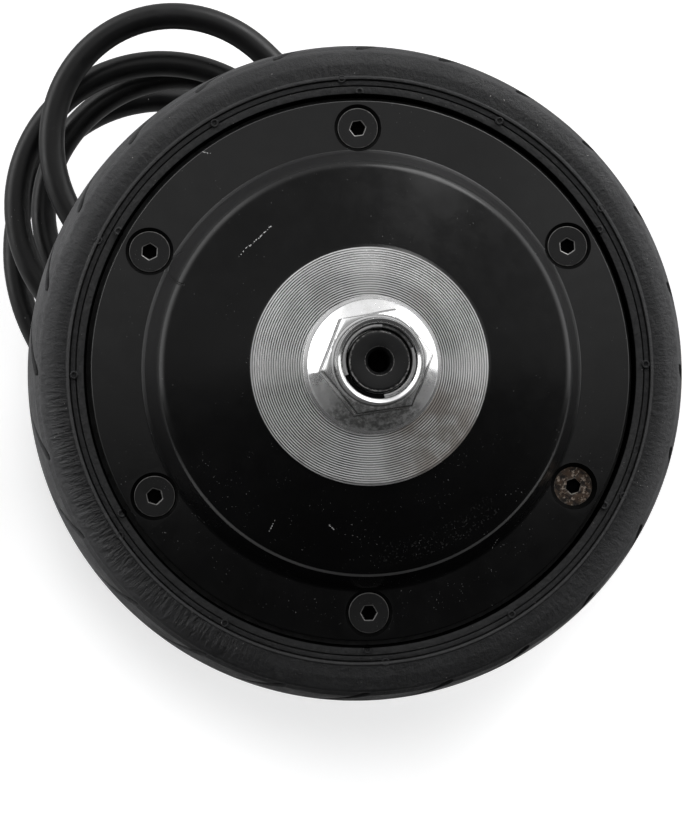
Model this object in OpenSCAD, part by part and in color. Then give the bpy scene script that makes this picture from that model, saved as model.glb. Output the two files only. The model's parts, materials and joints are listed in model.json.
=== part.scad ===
// Hub motor wheel: a direct-drive motor inside a small solid-tyred wheel.
// Lengths are in millimetres. The wheel spins about Y, its front faces -Y and +Z is up. The origin is the
// wheel's centre. Shapes are drawn lying down, with h measured along the axle towards the front, and then
// turned upright by facing_front().

/* [Tyre] */
// Outside diameter of the tyre
tyre_d = 165; // [162:1:170]
// Width across the tyre's side faces
tyre_w = 44; // [43.6:0.2:46]
// Radius of the tyre's inner lip, round the cover
lip_r = 67.1; // [66.8:0.1:67.4]

/* [Rim and covers] */
// Radius of the covers
cover_r = 65.7; // [65.2:0.1:66]
// Height of the cover's flat rim above the wheel's mid-plane
plate_h = 21.5; // [20.5:0.1:21.6]
// Thickness of the cover's flat rim
plate_t = 4; // [3.8:0.1:4.4]
// Radius of the circle through the cover screws
screw_circle_r = 59; // [58.6:0.1:59.2]
// Number of cover screws on each side
screw_count = 6; // [3:1:6]
// Radius at the foot of the drum
drum_foot_r = 53.6; // [53:0.1:53.8]
// Radius at the drum's top edge
drum_top_r = 49.3; // [49:0.1:50]
// Height of the front drum
front_drum_h = 31.5; // [31:0.1:32.5]
// Height of the front boss, with its bare turned face
front_boss_h = 38; // [37.5:0.1:38.2]
// Radius of the front boss's turned face
front_boss_r = 28; // [26:0.5:30]
// Height of the rear drum
rear_drum_h = 29; // [28.5:0.1:29.5]
// Height of the rear boss
rear_boss_h = 35; // [34.5:0.1:35.2]
// Radius of the rear boss's turned face
rear_boss_r = 24; // [23:0.5:28]

/* [Axle and nuts] */
// Height of the axle's front tip
front_tip_h = 60; // [59:0.1:60.4]
// Depth of the axle's rear tip
rear_tip_h = 58; // [57.5:0.5:62]
// Radius of the axle's front thread (M14)
front_thread_r = 7; // [6.9:0.05:7]
// Radius of the axle's rear thread (M16)
rear_thread_r = 8; // [7.9:0.05:8]
// Distance between the two flats on the rear end
flats_w = 12; // [11:0.5:14]
// Radius of the bore that the cable enters
cable_bore_r = 3.9; // [3.8:0.05:4.2]
// Radius of the tapped hole in the front tip (M6, drilled 5 mm)
tip_hole_r = 2.5; // [2.2:0.1:3]
// Width across the flats of the front nut
front_nut_af = 22; // [21:0.5:22.5]
// Width across the flats of the rear nut
rear_nut_af = 24; // [23:0.5:25]

/* [Motor] */
// Number of stator teeth
tooth_count = 27; // [21:3:27]
// Number of magnets
magnet_count = 30; // [26:2:30]
// Outside radius of the stator
stator_r = 49; // [48.6:0.1:49]
// Length of the stator core
core_l = 26; // [24:1:27]
// Gap between the stator and the magnets
air_gap = 0.6; // [0.5:0.1:0.8]
// Thickness of a magnet
magnet_t = 2.9; // [2.5:0.1:2.9]

/* [Cable] */
// Radius of the cable
cable_r = 3.5; // [3:0.1:3.6]
// Spacing of the coil's front turns along the axle
turn_pitch = 9; // [8.6:0.1:10]
// Depth of the coil's foremost turn behind the mid-plane
front_turn_depth = 34.5; // [34:0.5:36]
// Depth of the coil's rearmost turn, which the cable reaches first
first_turn_depth = 67; // [66:0.5:70]

/* [Hidden] */
$fn = 64;

cut = 1;       // how far a cutter runs past the face it opens
seat = 0.02;   // radial gap at a pressed or located seat
slip = 0.05;   // radial gap at a screwed or sliding fit

// Bearings as [bore radius, outer radius, width, pitch radius, ball radius, ball count, middle height]
front_bearing = [7.5, 17.5, 11, 12.5, 3, 8, 29.5];
rear_bearing = [8.5, 17.5, 10, 13, 2.38, 10, -27];
race_share = 0.73;       // how much of the ball's radius stands between the two races
ball_slip = 0.03;
cage_t = 2;
cage_rim = 0.8;          // how far the cage's rims reach beyond the balls
shield_h = [0.9, 0.3];   // a seal's inner and outer face, below the bearing's side

// Nuts as [thread radius, width across flats, flange radius, collar radius, collar recess radius]
front_nut_size = [front_thread_r, front_nut_af, 15.3, 9.65, 8.4];
rear_nut_size = [rear_thread_r, rear_nut_af, 16.6, 10.7, 9.4];
nut_edge = 0.4;          // size of the nut's small edges
nut_chamfer_a = 30;      // slope of the chamfer on the hexagon's corners
nut_flange_t = 1.6;
nut_cone_top = 4.6;
nut_hex_top = 12.5;
nut_recess_h = 13.3;
nut_top = 17.5;
lock_ring_t = 1;
lock_jaws = [[84, 118], [-83, 104]];     // the lock ring's raised jaws as [start angle, sweep]
lock_jaw_h = 1.7;        // how far a jaw stands above the ring
hex_turn = 7.4;          // the front nut's corners, from +X

shoulder_r = 10;         // the axle's thick middle, inside the stator hub
front_stack_h = front_bearing[6] + front_bearing[2] / 2;
rear_stack_h = rear_bearing[6] - rear_bearing[2] / 2;
spacer_r = 10.5;
washer_t = 2.5;
washer_r = 16.1;
washer_gap = 0.5;        // radial gap between a plain washer and the thread
torque_tab = [8, 4];     // width and reach of the torque washer's tab
front_washer_h = 41;
front_nut_h = front_washer_h + washer_t;
rear_washer_h = -37;
rear_nut_h = rear_washer_h - 2 * washer_t;
tip_chamfer = 0.8;
tip_hole_l = 15;
slot_h = -17.75;         // middle of the axle's wire slot
slot_l = 6.5;
slot_w = 7;
key_w = 5;
key_h = 4;
key_l = 20;

rim_h = plate_h - plate_t;
magnet_r = stator_r + air_gap;
ring_in_r = magnet_r + magnet_t;
ring_out_r = ring_in_r + 3;
ring_l = core_l + 4;
magnet_l = core_l + 2;
magnet_share = 0.9;      // how much of its pitch a magnet fills
tyre_seat_r = lip_r + 1;
tyre_rib = 1.5;          // height of the rim's rib that holds the tyre in place
rib_h = [4, 5.5];        // half width of that rib at its top and at its foot
crown_r = 60;            // the tread's radius across the tyre
shoulder_a = 19;         // angle where the tread meets the shoulder

opening_r = 13;          // hole in each cover where the axle comes through
wall_t = 3;              // thickness of the drum's wall
housing_t = 4;           // thickness of the wall round the bearing
drum_corner_r = 4;
cover_edge = 0.6;        // size of the cover's small edges
spigot_l = 1.9;
seal_groove = [63, 64.6, 1.2];   // inner radius, outer radius, depth
shaft_seal_t = 2.4;
shaft_seal_gap = 0.3;            // room between the shaft seal and the bearing
shaft_lip = 1;                   // how far the shaft seal's lip narrows down

screw_r = 2.5;
screw_head_r = 4.95;
screw_rim_t = 0.2;
screw_tip = 0.5;
screw_hole_r = 2.75;
sink_r = 5.75;           // mouth of the countersink in the cover, whose cone is at 45 degrees
screw_top_h = plate_h - sink_r + screw_head_r + slip + screw_rim_t;
screw_end_h = 8;
socket_af = 3;
socket_l = 2;

hub_r = 30;
hub_holes = [6, 20.5, 5.5];      // lightening holes as [count, circle radius, hole radius]
yoke_r = 34;
tooth_w = 3.8;
shoe_t = 1.8;
slot_opening = 2.4;
insulator_t = 1;
insulator_step = 0.6;    // how far the insulators stand back from the stator's face
board_post_r = 0.9;
coil_in_r = 35.5;
coil_out_r = 46;
coil_w = 1.4;
coil_gap = 0.3;
coil_overhang = 3.5;
window_l = core_l + 2 * insulator_t + 0.1;
board_h = -window_l / 2 - coil_overhang - 1;
board_t = 1.2;
board_r = [32, 47.8];
board_arc = 60;
sensor_size = [1.4, 4, 3];
sensor_gap = 0.4;        // between the coils and the sensors
sensor_pitch = 4 * 120 / tooth_count;    // angle between neighbouring sensors

// Leads in the axle as [radius, row height, gap between neighbours, depth where they turn out, reach]
phase_lead = [0.9, -1.5, 2.1, -16.5, coil_in_r - 0.2];
hall_lead = [0.4, 0.6, 0.95, -20.3, 40];
lead_start_h = -46;

// The cable's turns, rearmost first, seen from the front: a turn is a circle that is stretched a little along
// one direction, as [centre x, centre y, radius, stretch, angle of the stretch, depth]
turns = [
    [-45.3, 35.1, 47.8, -0.05, 29, first_turn_depth],
    [-46.2, 51.9, 35.9, 0.04, 40, front_turn_depth + 2 * turn_pitch],
    [-47.9, 49, 40.8, 0.01, -28, front_turn_depth + turn_pitch],
    [-43.8, 64.2, 35.5, -0.03, 16, front_turn_depth]
];
hold_from = 230;         // each turn keeps its own circle from this angle
hold_to = 45;            // down to this one, and then drifts into the next turn
leave_at = 48;           // angle where the last turn ends and the cable runs out straight
bend_h = -63;            // where the cable starts to bend behind the axle
bend_pull = [40, 30];    // how far the bend holds its first and last direction
tail_l = 32;
cable_sides = 10;

boot_l = 7;              // length of the boot beyond the sheath's end
boot_overlap = 12;
boot_t = 0.7;
wire_l = 38;
wire_gap = 0.25;         // the wires start this far beyond the boot
phase_wire_r = 1.1;
phase_gap = 2.3;
phase_spread = 5;
plug_r = [2, 2.9, 2.2];  // radius of a bullet plug's tail, body and nose
plug_h = [-6, -3, 14, 15, 18];   // where its tail, body and nose start and end, from the wire's end
hall_wire_r = 0.4;
hall_gap = 0.9;
hall_offset = 2.2;
hall_tilt = 6;
hall_wire_l = wire_l - 4;
hall_plug_size = [6, 12, 15];
hall_plug_shift = 1.5;           // the plug's middle stands this far behind its wires
hall_pin = [0.7, 2.1, 6];        // pin hole radius, pitch and depth

// A drawn shape has its h axis on Z: this stands it up, with h pointing to the front.
module facing_front() {
    rotate([90, 0, 0]) children();
}

// The same shape for the rear, with h pointing to the back
module facing_rear() {
    rotate([90, 0, 0]) mirror([0, 0, 1]) children();
}

module tube(r_in, r_out, h0, h1) {
    translate([0, 0, h0])
        difference() {
            cylinder(h = h1 - h0, r = r_out);
            translate([0, 0, -cut]) cylinder(h = h1 - h0 + 2 * cut, r = r_in);
        }
}

module around(count, r, phase = 90) {
    for (i = [0:count - 1]) rotate([0, 0, phase + i * 360 / count]) translate([r, 0, 0]) children();
}

// Points of an arc about centre c, from angle a0 to a1
function arc(c, r, a0, a1, steps) =
    [for (i = [0:steps]) let (a = a0 + (a1 - a0) * i / steps) c + r * [cos(a), sin(a)]];

/* ---- axle ---- */

module key_space(gap) {
    translate([-key_w / 2 - gap, -shoulder_r - key_h / 2, -key_l / 2 - gap])
        cube([key_w + 2 * gap, key_h, key_l + 2 * gap]);
}

module flats() {
    for (side = [0, 180]) rotate([0, 0, side])
        translate([flats_w / 2, -shoulder_r, -rear_tip_h - cut])
            cube([shoulder_r, 2 * shoulder_r, rear_tip_h + cut + rear_washer_h + washer_t]);
}

module axle_turned() {
    rotate_extrude() polygon([
        [0, -rear_tip_h], [rear_thread_r - tip_chamfer, -rear_tip_h],
        [rear_thread_r, -rear_tip_h + tip_chamfer],
        [rear_thread_r, rear_stack_h], [rear_bearing[0], rear_stack_h],
        [rear_bearing[0], rear_stack_h + rear_bearing[2]], [shoulder_r, rear_stack_h + rear_bearing[2]],
        [shoulder_r, front_stack_h - front_bearing[2]], [front_bearing[0], front_stack_h - front_bearing[2]],
        [front_bearing[0], front_stack_h], [front_thread_r, front_stack_h],
        [front_thread_r, front_tip_h - tip_chamfer], [front_thread_r - tip_chamfer, front_tip_h],
        [0, front_tip_h]
    ]);
}

module axle() color("#26272a")
    facing_front() difference() {
        axle_turned();
        flats();
        translate([0, 0, -rear_tip_h - cut])
            cylinder(h = rear_tip_h + cut + slot_h + slot_l / 2, r = cable_bore_r);
        translate([-slot_w / 2, 0, slot_h - slot_l / 2]) cube([slot_w, shoulder_r + cut, slot_l]);
        translate([0, 0, front_tip_h - tip_hole_l]) cylinder(h = tip_hole_l + cut, r = tip_hole_r);
        translate([0, 0, front_tip_h - tip_chamfer])
            cylinder(h = tip_chamfer + cut, r1 = tip_hole_r, r2 = tip_hole_r + (tip_chamfer + cut) * tan(30));
        key_space(seat);
    }

module axle_key() color("silver")
    facing_front() key_space(0);

module front_spacer() color("silver")
    facing_front() tube(front_thread_r + slip, spacer_r, front_stack_h, front_washer_h);

module rear_spacer() color("silver")
    facing_front() tube(rear_thread_r + slip, spacer_r, rear_washer_h, rear_stack_h);

module front_washer() color("silver")
    facing_front() tube(front_thread_r + washer_gap, washer_r, front_washer_h, front_nut_h);

module rear_washer() color("silver")
    facing_front() tube(rear_thread_r + washer_gap, washer_r, rear_nut_h, rear_nut_h + washer_t);

module rear_torque_washer() color("silver")
    facing_front() translate([0, 0, rear_washer_h - washer_t]) linear_extrude(washer_t)
        difference() {
            union() {
                circle(r = washer_r);
                translate([-torque_tab.x / 2, 0]) square([torque_tab.x, washer_r + torque_tab.y]);
            }
            intersection() {
                circle(r = rear_thread_r + slip);
                square([flats_w + 2 * slip, 3 * rear_thread_r], center = true);
            }
        }

// Flange nut with a round collar, standing on h = 0
module flange_nut(size, turn) {
    corner_r = size[1] / 2 / cos(30);
    chamfer_r = size[1] / 2 - nut_edge;
    difference() {
        union() {
            rotate_extrude() polygon([
                [0, 0], [size[2] - nut_edge, 0], [size[2], nut_edge], [size[2], nut_flange_t],
                [size[1] / 2, nut_cone_top], [0, nut_cone_top]
            ]);
            intersection() {
                rotate([0, 0, turn]) translate([0, 0, cut])
                    cylinder(h = nut_hex_top - cut, r = corner_r, $fn = 6);
                cylinder(h = nut_hex_top, r1 = chamfer_r + nut_hex_top / tan(nut_chamfer_a), r2 = chamfer_r);
            }
            rotate_extrude() polygon([
                [0, nut_hex_top - cut], [size[3], nut_hex_top - cut], [size[3], nut_top - 2 * nut_edge],
                [size[3] - 2 * nut_edge, nut_top], [0, nut_top]
            ]);
        }
        translate([0, 0, -cut]) cylinder(h = nut_top + 2 * cut, r = size[0] + slip);
        translate([0, 0, nut_recess_h]) cylinder(h = nut_top, r = size[4]);
    }
}

// Spring ring in the nut's collar: a flat ring with two raised jaws
module lock_ring(size) {
    r_in = size[0] + 3 * slip;
    r_out = size[4] - seat;
    jaw_h0 = nut_recess_h + lock_ring_t / 2;
    tube(r_in, r_out, nut_recess_h, nut_recess_h + lock_ring_t);
    for (jaw = lock_jaws) rotate([0, 0, jaw[0]])
        rotate_extrude(angle = jaw[1])
            translate([r_in + slip, jaw_h0])
                square([r_out - r_in - 2 * slip, lock_ring_t / 2 + lock_jaw_h]);
}

module front_nut() color("gainsboro")
    facing_front() translate([0, 0, front_nut_h]) flange_nut(front_nut_size, hex_turn);
module front_nut_lock_ring() color("silver")
    facing_front() translate([0, 0, front_nut_h]) lock_ring(front_nut_size);
module rear_nut() color("gainsboro")
    facing_rear() translate([0, 0, -rear_nut_h]) flange_nut(rear_nut_size, 0);
module rear_nut_lock_ring() color("silver")
    facing_rear() translate([0, 0, -rear_nut_h]) lock_ring(rear_nut_size);

/* ---- stator ---- */

module stator_hub() color("lightgray")
    facing_front() difference() {
        tube(shoulder_r + seat, hub_r, -core_l / 2, core_l / 2);
        key_space(slip);
        around(hub_holes[0], hub_holes[1])
            translate([0, 0, -core_l]) cylinder(h = 2 * core_l, r = hub_holes[2]);
    }

// Lamination outline: a yoke ring, its teeth and their shoes, out to radius r
module lamination(r) {
    difference() {
        circle(r = yoke_r);
        circle(r = hub_r + seat);
    }
    around(tooth_count, yoke_r - 0.5) translate([0, -tooth_w / 2]) square([r - yoke_r, tooth_w]);
    difference() {
        circle(r = r);
        circle(r = stator_r - shoe_t);
        around(tooth_count, stator_r - 3, 90 + 180 / tooth_count)
            translate([0, -slot_opening / 2]) square([5, slot_opening]);
    }
}

module stator_core() color("#8d9096")
    facing_front() translate([0, 0, -core_l / 2]) linear_extrude(core_l) lamination(stator_r);

module front_insulator() color("ivory")
    facing_front() translate([0, 0, core_l / 2])
        linear_extrude(insulator_t) lamination(stator_r - insulator_step);

// The rear insulator also carries the posts under the sensor board.
module rear_insulator() color("ivory")
    facing_front() {
        translate([0, 0, -core_l / 2 - insulator_t])
            linear_extrude(insulator_t) lamination(stator_r - insulator_step);
        for (side = [-1, 1]) rotate([0, 0, 90 + side * (board_arc / 2 - 3)])
            translate([yoke_r - 1, 0, board_h])
                cylinder(h = -board_h - core_l / 2 - insulator_t / 2, r = board_post_r);
    }

module stator_coils() color("#b0592b") {
    window_w = tooth_w + 2 * coil_gap;
    coil_l = coil_out_r - coil_in_r;
    facing_front() around(tooth_count, coil_in_r)
        difference() {
            translate([0, -window_w / 2 - coil_w, -window_l / 2 - coil_overhang])
                cube([coil_l, window_w + 2 * coil_w, window_l + 2 * coil_overhang]);
            translate([-cut, -window_w / 2, -window_l / 2]) cube([coil_l + 2 * cut, window_w, window_l]);
        }
}

module hall_board() color("#1f5c35")
    facing_front() translate([0, 0, board_h - board_t]) rotate([0, 0, 90 - board_arc / 2])
        rotate_extrude(angle = board_arc)
            translate([board_r[0], 0]) square([board_r[1] - board_r[0], board_t]);

module hall_sensors() color("#1b1b1b")
    facing_front() for (i = [-1:1]) rotate([0, 0, 90 + i * sensor_pitch])
        translate([coil_out_r + sensor_gap, -sensor_size.y / 2, board_h]) cube(sensor_size);

// A row of leads that run up the axle's bore and turn out through its slot
module leads(lead, count) {
    facing_front() for (i = [0:count - 1]) translate([(i - (count - 1) / 2) * lead[2], lead[1], 0]) {
        translate([0, 0, lead_start_h]) cylinder(h = lead[3] - lead_start_h, r = lead[0]);
        translate([0, 0, lead[3]]) sphere(r = lead[0] + seat);
        translate([0, 0, lead[3]]) rotate([-90, 0, 0]) cylinder(h = lead[4] - lead[1], r = lead[0]);
    }
}

module phase_leads() color("goldenrod") leads(phase_lead, 3);
module hall_leads() color("firebrick") leads(hall_lead, 5);

/* ---- cable ---- */

function unit(v) = v / norm(v);
function smooth(s) = s * s * (3 - 2 * s);
function turn_radius(t, a) = t[2] * (1 + t[3] * cos(2 * (a - t[4])));
function spot(a, n) =
    let (t = turns[n], r = turn_radius(t, a)) [t.x + r * cos(a), t.y + r * sin(a), -t[5]];

// Point of the coil at angle a, which falls as the cable is laid from the rearmost turn to the front
function coil_point(a) =
    let (u = (hold_from - a) / 360,
         n = floor(u),
         held = (hold_from - hold_to) / 360,
         s = smooth(max(0, (u - n - held) / (1 - held))),
         last = len(turns) - 1)
    spot(a, min(n, last)) * (1 - s) + spot(a, min(n + 1, last)) * s;

function bezier(p, t) =
    p[0] * pow(1 - t, 3) + 3 * p[1] * t * pow(1 - t, 2) + 3 * p[2] * t * t * (1 - t) + p[3] * pow(t, 3);

function heading(a) = unit(coil_point(a - 1) - coil_point(a));

lay_end = leave_at - 360 * (len(turns) - 1);
tail_point = coil_point(lay_end) + tail_l * heading(lay_end);
tail_turn = atan2(heading(lay_end).y, heading(lay_end).x);
bend = [[0, 0, bend_h], [0, 0, bend_h - bend_pull[0]],
        coil_point(hold_from) - bend_pull[1] * heading(hold_from), coil_point(hold_from)];
coil_steps = ceil((hold_from - lay_end) / 9);
cable_path = concat(
    [[0, 0, lead_start_h], [0, 0, bend_h + 8]],
    [for (i = [0:15]) bezier(bend, i / 16)],
    [for (i = [0:coil_steps]) coil_point(hold_from + (lay_end - hold_from) * i / coil_steps)],
    [tail_point]
);

function tangent(p, i) = unit(p[min(i + 1, len(p) - 1)] - p[max(i - 1, 0)]);
function carried(side, t) = unit(side - (side * t) * t);
// One sideways vector for each point, carried along the path without twist
function sides_along(p, i = 0, side = [1, 0, 0]) =
    let (s = carried(side, tangent(p, i)))
    i == len(p) - 1 ? [s] : concat([s], sides_along(p, i + 1, s));

module swept(path, r, n) {
    side = sides_along(path);
    rings = [for (i = [0:len(path) - 1])
        let (t = tangent(path, i), b = cross(t, side[i]))
        for (k = [0:n - 1]) path[i] + r * (side[i] * cos(k * 360 / n) + b * sin(k * 360 / n))];
    walls = [for (i = [0:len(path) - 2], k = [0:n - 1]) let (j = (k + 1) % n)
        [i * n + k, (i + 1) * n + k, (i + 1) * n + j, i * n + j]];
    ends = [[for (k = [0:n - 1]) k], [for (k = [n - 1:-1:0]) (len(path) - 1) * n + k]];
    polyhedron(points = rings, faces = concat(walls, ends), convexity = 10);
}

module cable_sheath() color("#1a1a1a")
    facing_front() swept(cable_path, cable_r, cable_sides);

module cable_gland() color("#202020")
    facing_front() rotate_extrude() polygon([
        [cable_r + slip, -rear_tip_h + 8], [cable_bore_r - slip, -rear_tip_h + 8],
        [cable_bore_r - slip, -rear_tip_h - seat], [rear_thread_r - 2, -rear_tip_h - seat],
        [rear_thread_r - 2, -rear_tip_h - 1.5], [cable_r + 1, bend_h - 1], [cable_r + slip, bend_h - 1]
    ]);

// Stands a part drawn along Z on the cable's free end, with +X towards the rear
module along_tail() {
    facing_front() translate(tail_point) rotate([0, 0, tail_turn]) rotate([0, 90, 0]) children();
}

// A row of wires that leave the boot's end: gap between neighbours, and the angle they spread by
module fan(count, gap, angle) {
    for (i = [0:count - 1]) let (n = i - (count - 1) / 2)
        translate([0, n * gap, boot_l + wire_gap]) rotate([-n * angle, 0, 0]) children();
}

module phase_fan() {
    fan(3, phase_gap, phase_spread) children();
}

// The sensor wires leave beside the phase wires and turn away to the rear.
module hall_side() {
    translate([hall_offset, 0, 0]) rotate([0, hall_tilt, 0]) children();
}

module cable_boot() color("#161616")
    along_tail() rotate_extrude() polygon([
        [cable_r + slip, -boot_overlap], [cable_r + boot_t, -boot_overlap], [cable_r + boot_t, 2],
        [cable_r - 0.1, boot_l], [0, boot_l], [0, seat], [cable_r + slip, seat]
    ]);

module phase_wires() color("royalblue")
    along_tail() phase_fan() cylinder(h = wire_l, r = phase_wire_r);

module phase_plugs() color("#303236")
    along_tail() phase_fan() rotate_extrude() polygon([
        [phase_wire_r + slip, wire_l + plug_h[0]], [plug_r[0], wire_l + plug_h[0]],
        [plug_r[1], wire_l + plug_h[1]], [plug_r[1], wire_l + plug_h[2]], [plug_r[2], wire_l + plug_h[3]],
        [plug_r[2], wire_l + plug_h[4]], [0, wire_l + plug_h[4]], [0, wire_l + slip],
        [phase_wire_r + slip, wire_l + slip]
    ]);

module hall_wires() color("seagreen")
    along_tail() hall_side() fan(5, hall_gap, 1) cylinder(h = hall_wire_l, r = hall_wire_r);

module hall_plug() color("whitesmoke") {
    start = boot_l + wire_gap + hall_wire_l + slip;
    along_tail() hall_side() translate([hall_plug_shift, 0, start]) difference() {
        translate([-hall_plug_size.x / 2, -hall_plug_size.y / 2, 0]) cube(hall_plug_size);
        for (i = [-2:2]) translate([0, i * hall_pin[1], hall_plug_size.z - hall_pin[2]])
            cylinder(h = hall_pin[2] + cut, r = hall_pin[0]);
    }
}

/* ---- wheel ---- */

// Half of the tyre's outline, from the inner lip round to the crown
function half_tyre() = concat(
    [[tyre_seat_r + tyre_rib + seat, rib_h[0]], [tyre_seat_r + seat, rib_h[1]],
     [tyre_seat_r + seat, rim_h + seat], [lip_r, rim_h + seat],
     [lip_r, tyre_w / 2 - 0.8], [lip_r + 0.5, tyre_w / 2 - 0.3],
     [lip_r + 2.5, tyre_w / 2], [lip_r + 7.5, tyre_w / 2 - 0.1], [lip_r + 11.4, tyre_w / 2 - 1.2]],
    arc([tyre_d / 2 - crown_r, 0], crown_r, shoulder_a, 0, 6)
);
function mirrored(p) = [for (i = [len(p) - 1:-1:0]) [p[i].x, -p[i].y]];

module tyre() color("#202122")
    facing_front() rotate_extrude() polygon(
        concat(half_tyre(), [for (i = [1:len(half_tyre()) - 1]) mirrored(half_tyre())[i]]));

module rim() color("#9a9ca0")
    facing_front() difference() {
        rotate_extrude() polygon([
            [ring_out_r, -rim_h], [tyre_seat_r, -rim_h], [tyre_seat_r, -rib_h[1]],
            [tyre_seat_r + tyre_rib, -rib_h[0]], [tyre_seat_r + tyre_rib, rib_h[0]],
            [tyre_seat_r, rib_h[1]], [tyre_seat_r, rim_h], [ring_out_r, rim_h]
        ]);
        for (side = [0, 1]) mirror([0, 0, side]) {
            around(screw_count, screw_circle_r)
                translate([0, 0, screw_end_h - 2]) cylinder(h = rim_h, r = screw_r + slip);
            tube(seal_groove[0], seal_groove[1], rim_h - seal_groove[2], rim_h + cut);
        }
    }

module rotor_ring() color("#6d7075")
    facing_front() tube(ring_in_r + seat, ring_out_r - seat, -ring_l / 2, ring_l / 2);

module magnets() color("#b9bcc2") {
    magnet_a = magnet_share * 360 / magnet_count;
    facing_front() around(magnet_count, 0) rotate([0, 0, -magnet_a / 2])
        rotate_extrude(angle = magnet_a) translate([magnet_r, -magnet_l / 2]) square([magnet_t, magnet_l]);
}

// One cover. It seats a bearing between seat_h and seat_h + seat_l.
module cover(drum_h, boss_h, boss_r, seat_h, seat_l) {
    pocket_r = front_bearing[1] + seat;
    housing_r = pocket_r + housing_t;
    top_r = drum_top_r - drum_corner_r;
    difference() {
        rotate_extrude() polygon(concat(
            [[opening_r, boss_h], [boss_r, boss_h], [boss_r + cover_edge, boss_h - cover_edge]],
            arc([top_r, drum_h - drum_corner_r], drum_corner_r, 85, 20, 5),
            [[drum_foot_r - cover_edge, plate_h + cover_edge], [drum_foot_r, plate_h],
             [cover_r - cover_edge, plate_h], [cover_r, plate_h - cover_edge], [cover_r, rim_h],
             [ring_out_r - slip, rim_h], [ring_out_r - slip, rim_h - spigot_l],
             [drum_foot_r - wall_t, rim_h - spigot_l], [top_r - cover_edge, drum_h - wall_t],
             [housing_r, drum_h - wall_t + cover_edge], [housing_r, seat_h],
             [pocket_r, seat_h], [pocket_r, seat_h + seat_l], [opening_r, seat_h + seat_l]]
        ));
        around(screw_count, screw_circle_r) {
            translate([0, 0, rim_h - cut]) cylinder(h = plate_t + 2 * cut, r = screw_hole_r);
            translate([0, 0, plate_h - sink_r + screw_hole_r])
                cylinder(h = sink_r - screw_hole_r, r1 = screw_hole_r, r2 = sink_r);
            translate([0, 0, plate_h]) cylinder(h = drum_h, r = sink_r);
        }
    }
}

module front_cover() color("#1d1e20")
    facing_front() cover(front_drum_h, front_boss_h, front_boss_r,
                         front_stack_h - front_bearing[2], front_bearing[2]);
module rear_cover() color("#1d1e20")
    facing_rear() cover(rear_drum_h, rear_boss_h, rear_boss_r,
                        -rear_stack_h - rear_bearing[2], rear_bearing[2]);

module cover_screws() {
    around(screw_count, screw_circle_r) difference() {
        rotate_extrude() polygon([
            [0, screw_end_h], [screw_r - screw_tip, screw_end_h], [screw_r, screw_end_h + screw_tip],
            [screw_r, screw_top_h - screw_rim_t - screw_head_r + screw_r],
            [screw_head_r, screw_top_h - screw_rim_t], [screw_head_r, screw_top_h], [0, screw_top_h]
        ]);
        translate([0, 0, screw_top_h - socket_l])
            cylinder(h = socket_l + cut, r = socket_af / 2 / cos(30), $fn = 6);
    }
}

module front_cover_screws() color("#17181a") facing_front() cover_screws();
module rear_cover_screws() color("#17181a") facing_rear() cover_screws();

module cover_seal() {
    tube(seal_groove[0] + slip, seal_groove[1] - slip, rim_h - seal_groove[2] + seat, rim_h);
}

module front_cover_seal() color("#333333") facing_front() cover_seal();
module rear_cover_seal() color("#333333") facing_rear() cover_seal();

// Rubber ring in the cover's opening, with a lip that runs close round the spacer
module shaft_seal(h0) {
    h = h0 + shaft_seal_gap;
    rotate_extrude() polygon([
        [opening_r - seat, h], [opening_r - seat, h + shaft_seal_t], [spacer_r + shaft_lip, h + shaft_seal_t],
        [spacer_r + slip, h + shaft_seal_t - shaft_lip + slip], [spacer_r + slip, h + shaft_lip - slip],
        [spacer_r + shaft_lip, h]
    ]);
}

module front_shaft_seal() color("#2b2b2b")
    facing_front() shaft_seal(front_stack_h);
module rear_shaft_seal() color("#2b2b2b")
    facing_rear() shaft_seal(-rear_stack_h);

/* ---- bearings ---- */

function race_gap(b) = race_share * b[4];

module raceway(b) {
    rotate_extrude() translate([b[3], 0]) circle(r = b[4] + ball_slip);
}

module bearing_place(b) {
    facing_front() translate([0, 0, b[6]]) children();
}

module inner_race(b)
    bearing_place(b) difference() {
        tube(b[0] + seat, b[3] - race_gap(b), -b[2] / 2, b[2] / 2);
        raceway(b);
    }

module outer_race(b)
    bearing_place(b) difference() {
        tube(b[3] + race_gap(b), b[1], -b[2] / 2, b[2] / 2);
        raceway(b);
    }

module bearing_seals(b)
    bearing_place(b) for (side = [0, 1]) mirror([0, 0, side])
        tube(b[3] - race_gap(b) + 2 * slip, b[3] + race_gap(b) - seat,
             b[2] / 2 - shield_h[0], b[2] / 2 - shield_h[1]);

module bearing_cage(b)
    bearing_place(b) difference() {
        tube(b[3] - cage_t / 2, b[3] + cage_t / 2, -b[4] - cage_rim, b[4] + cage_rim);
        around(b[5], 0) rotate([0, 90, 0]) cylinder(h = b[1], r = b[4] + slip);
    }

module bearing_balls(b)
    bearing_place(b) around(b[5], b[3]) sphere(r = b[4]);

module front_inner_race() color("silver") inner_race(front_bearing);
module rear_inner_race() color("silver") inner_race(rear_bearing);
module front_outer_race() color("silver") outer_race(front_bearing);
module rear_outer_race() color("silver") outer_race(rear_bearing);
module front_bearing_seals() color("#2a2a2a") bearing_seals(front_bearing);
module rear_bearing_seals() color("#2a2a2a") bearing_seals(rear_bearing);
module front_bearing_cage() color("peru") bearing_cage(front_bearing);
module rear_bearing_cage() color("peru") bearing_cage(rear_bearing);
module front_bearing_balls() color("whitesmoke") bearing_balls(front_bearing);
module rear_bearing_balls() color("whitesmoke") bearing_balls(rear_bearing);

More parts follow.
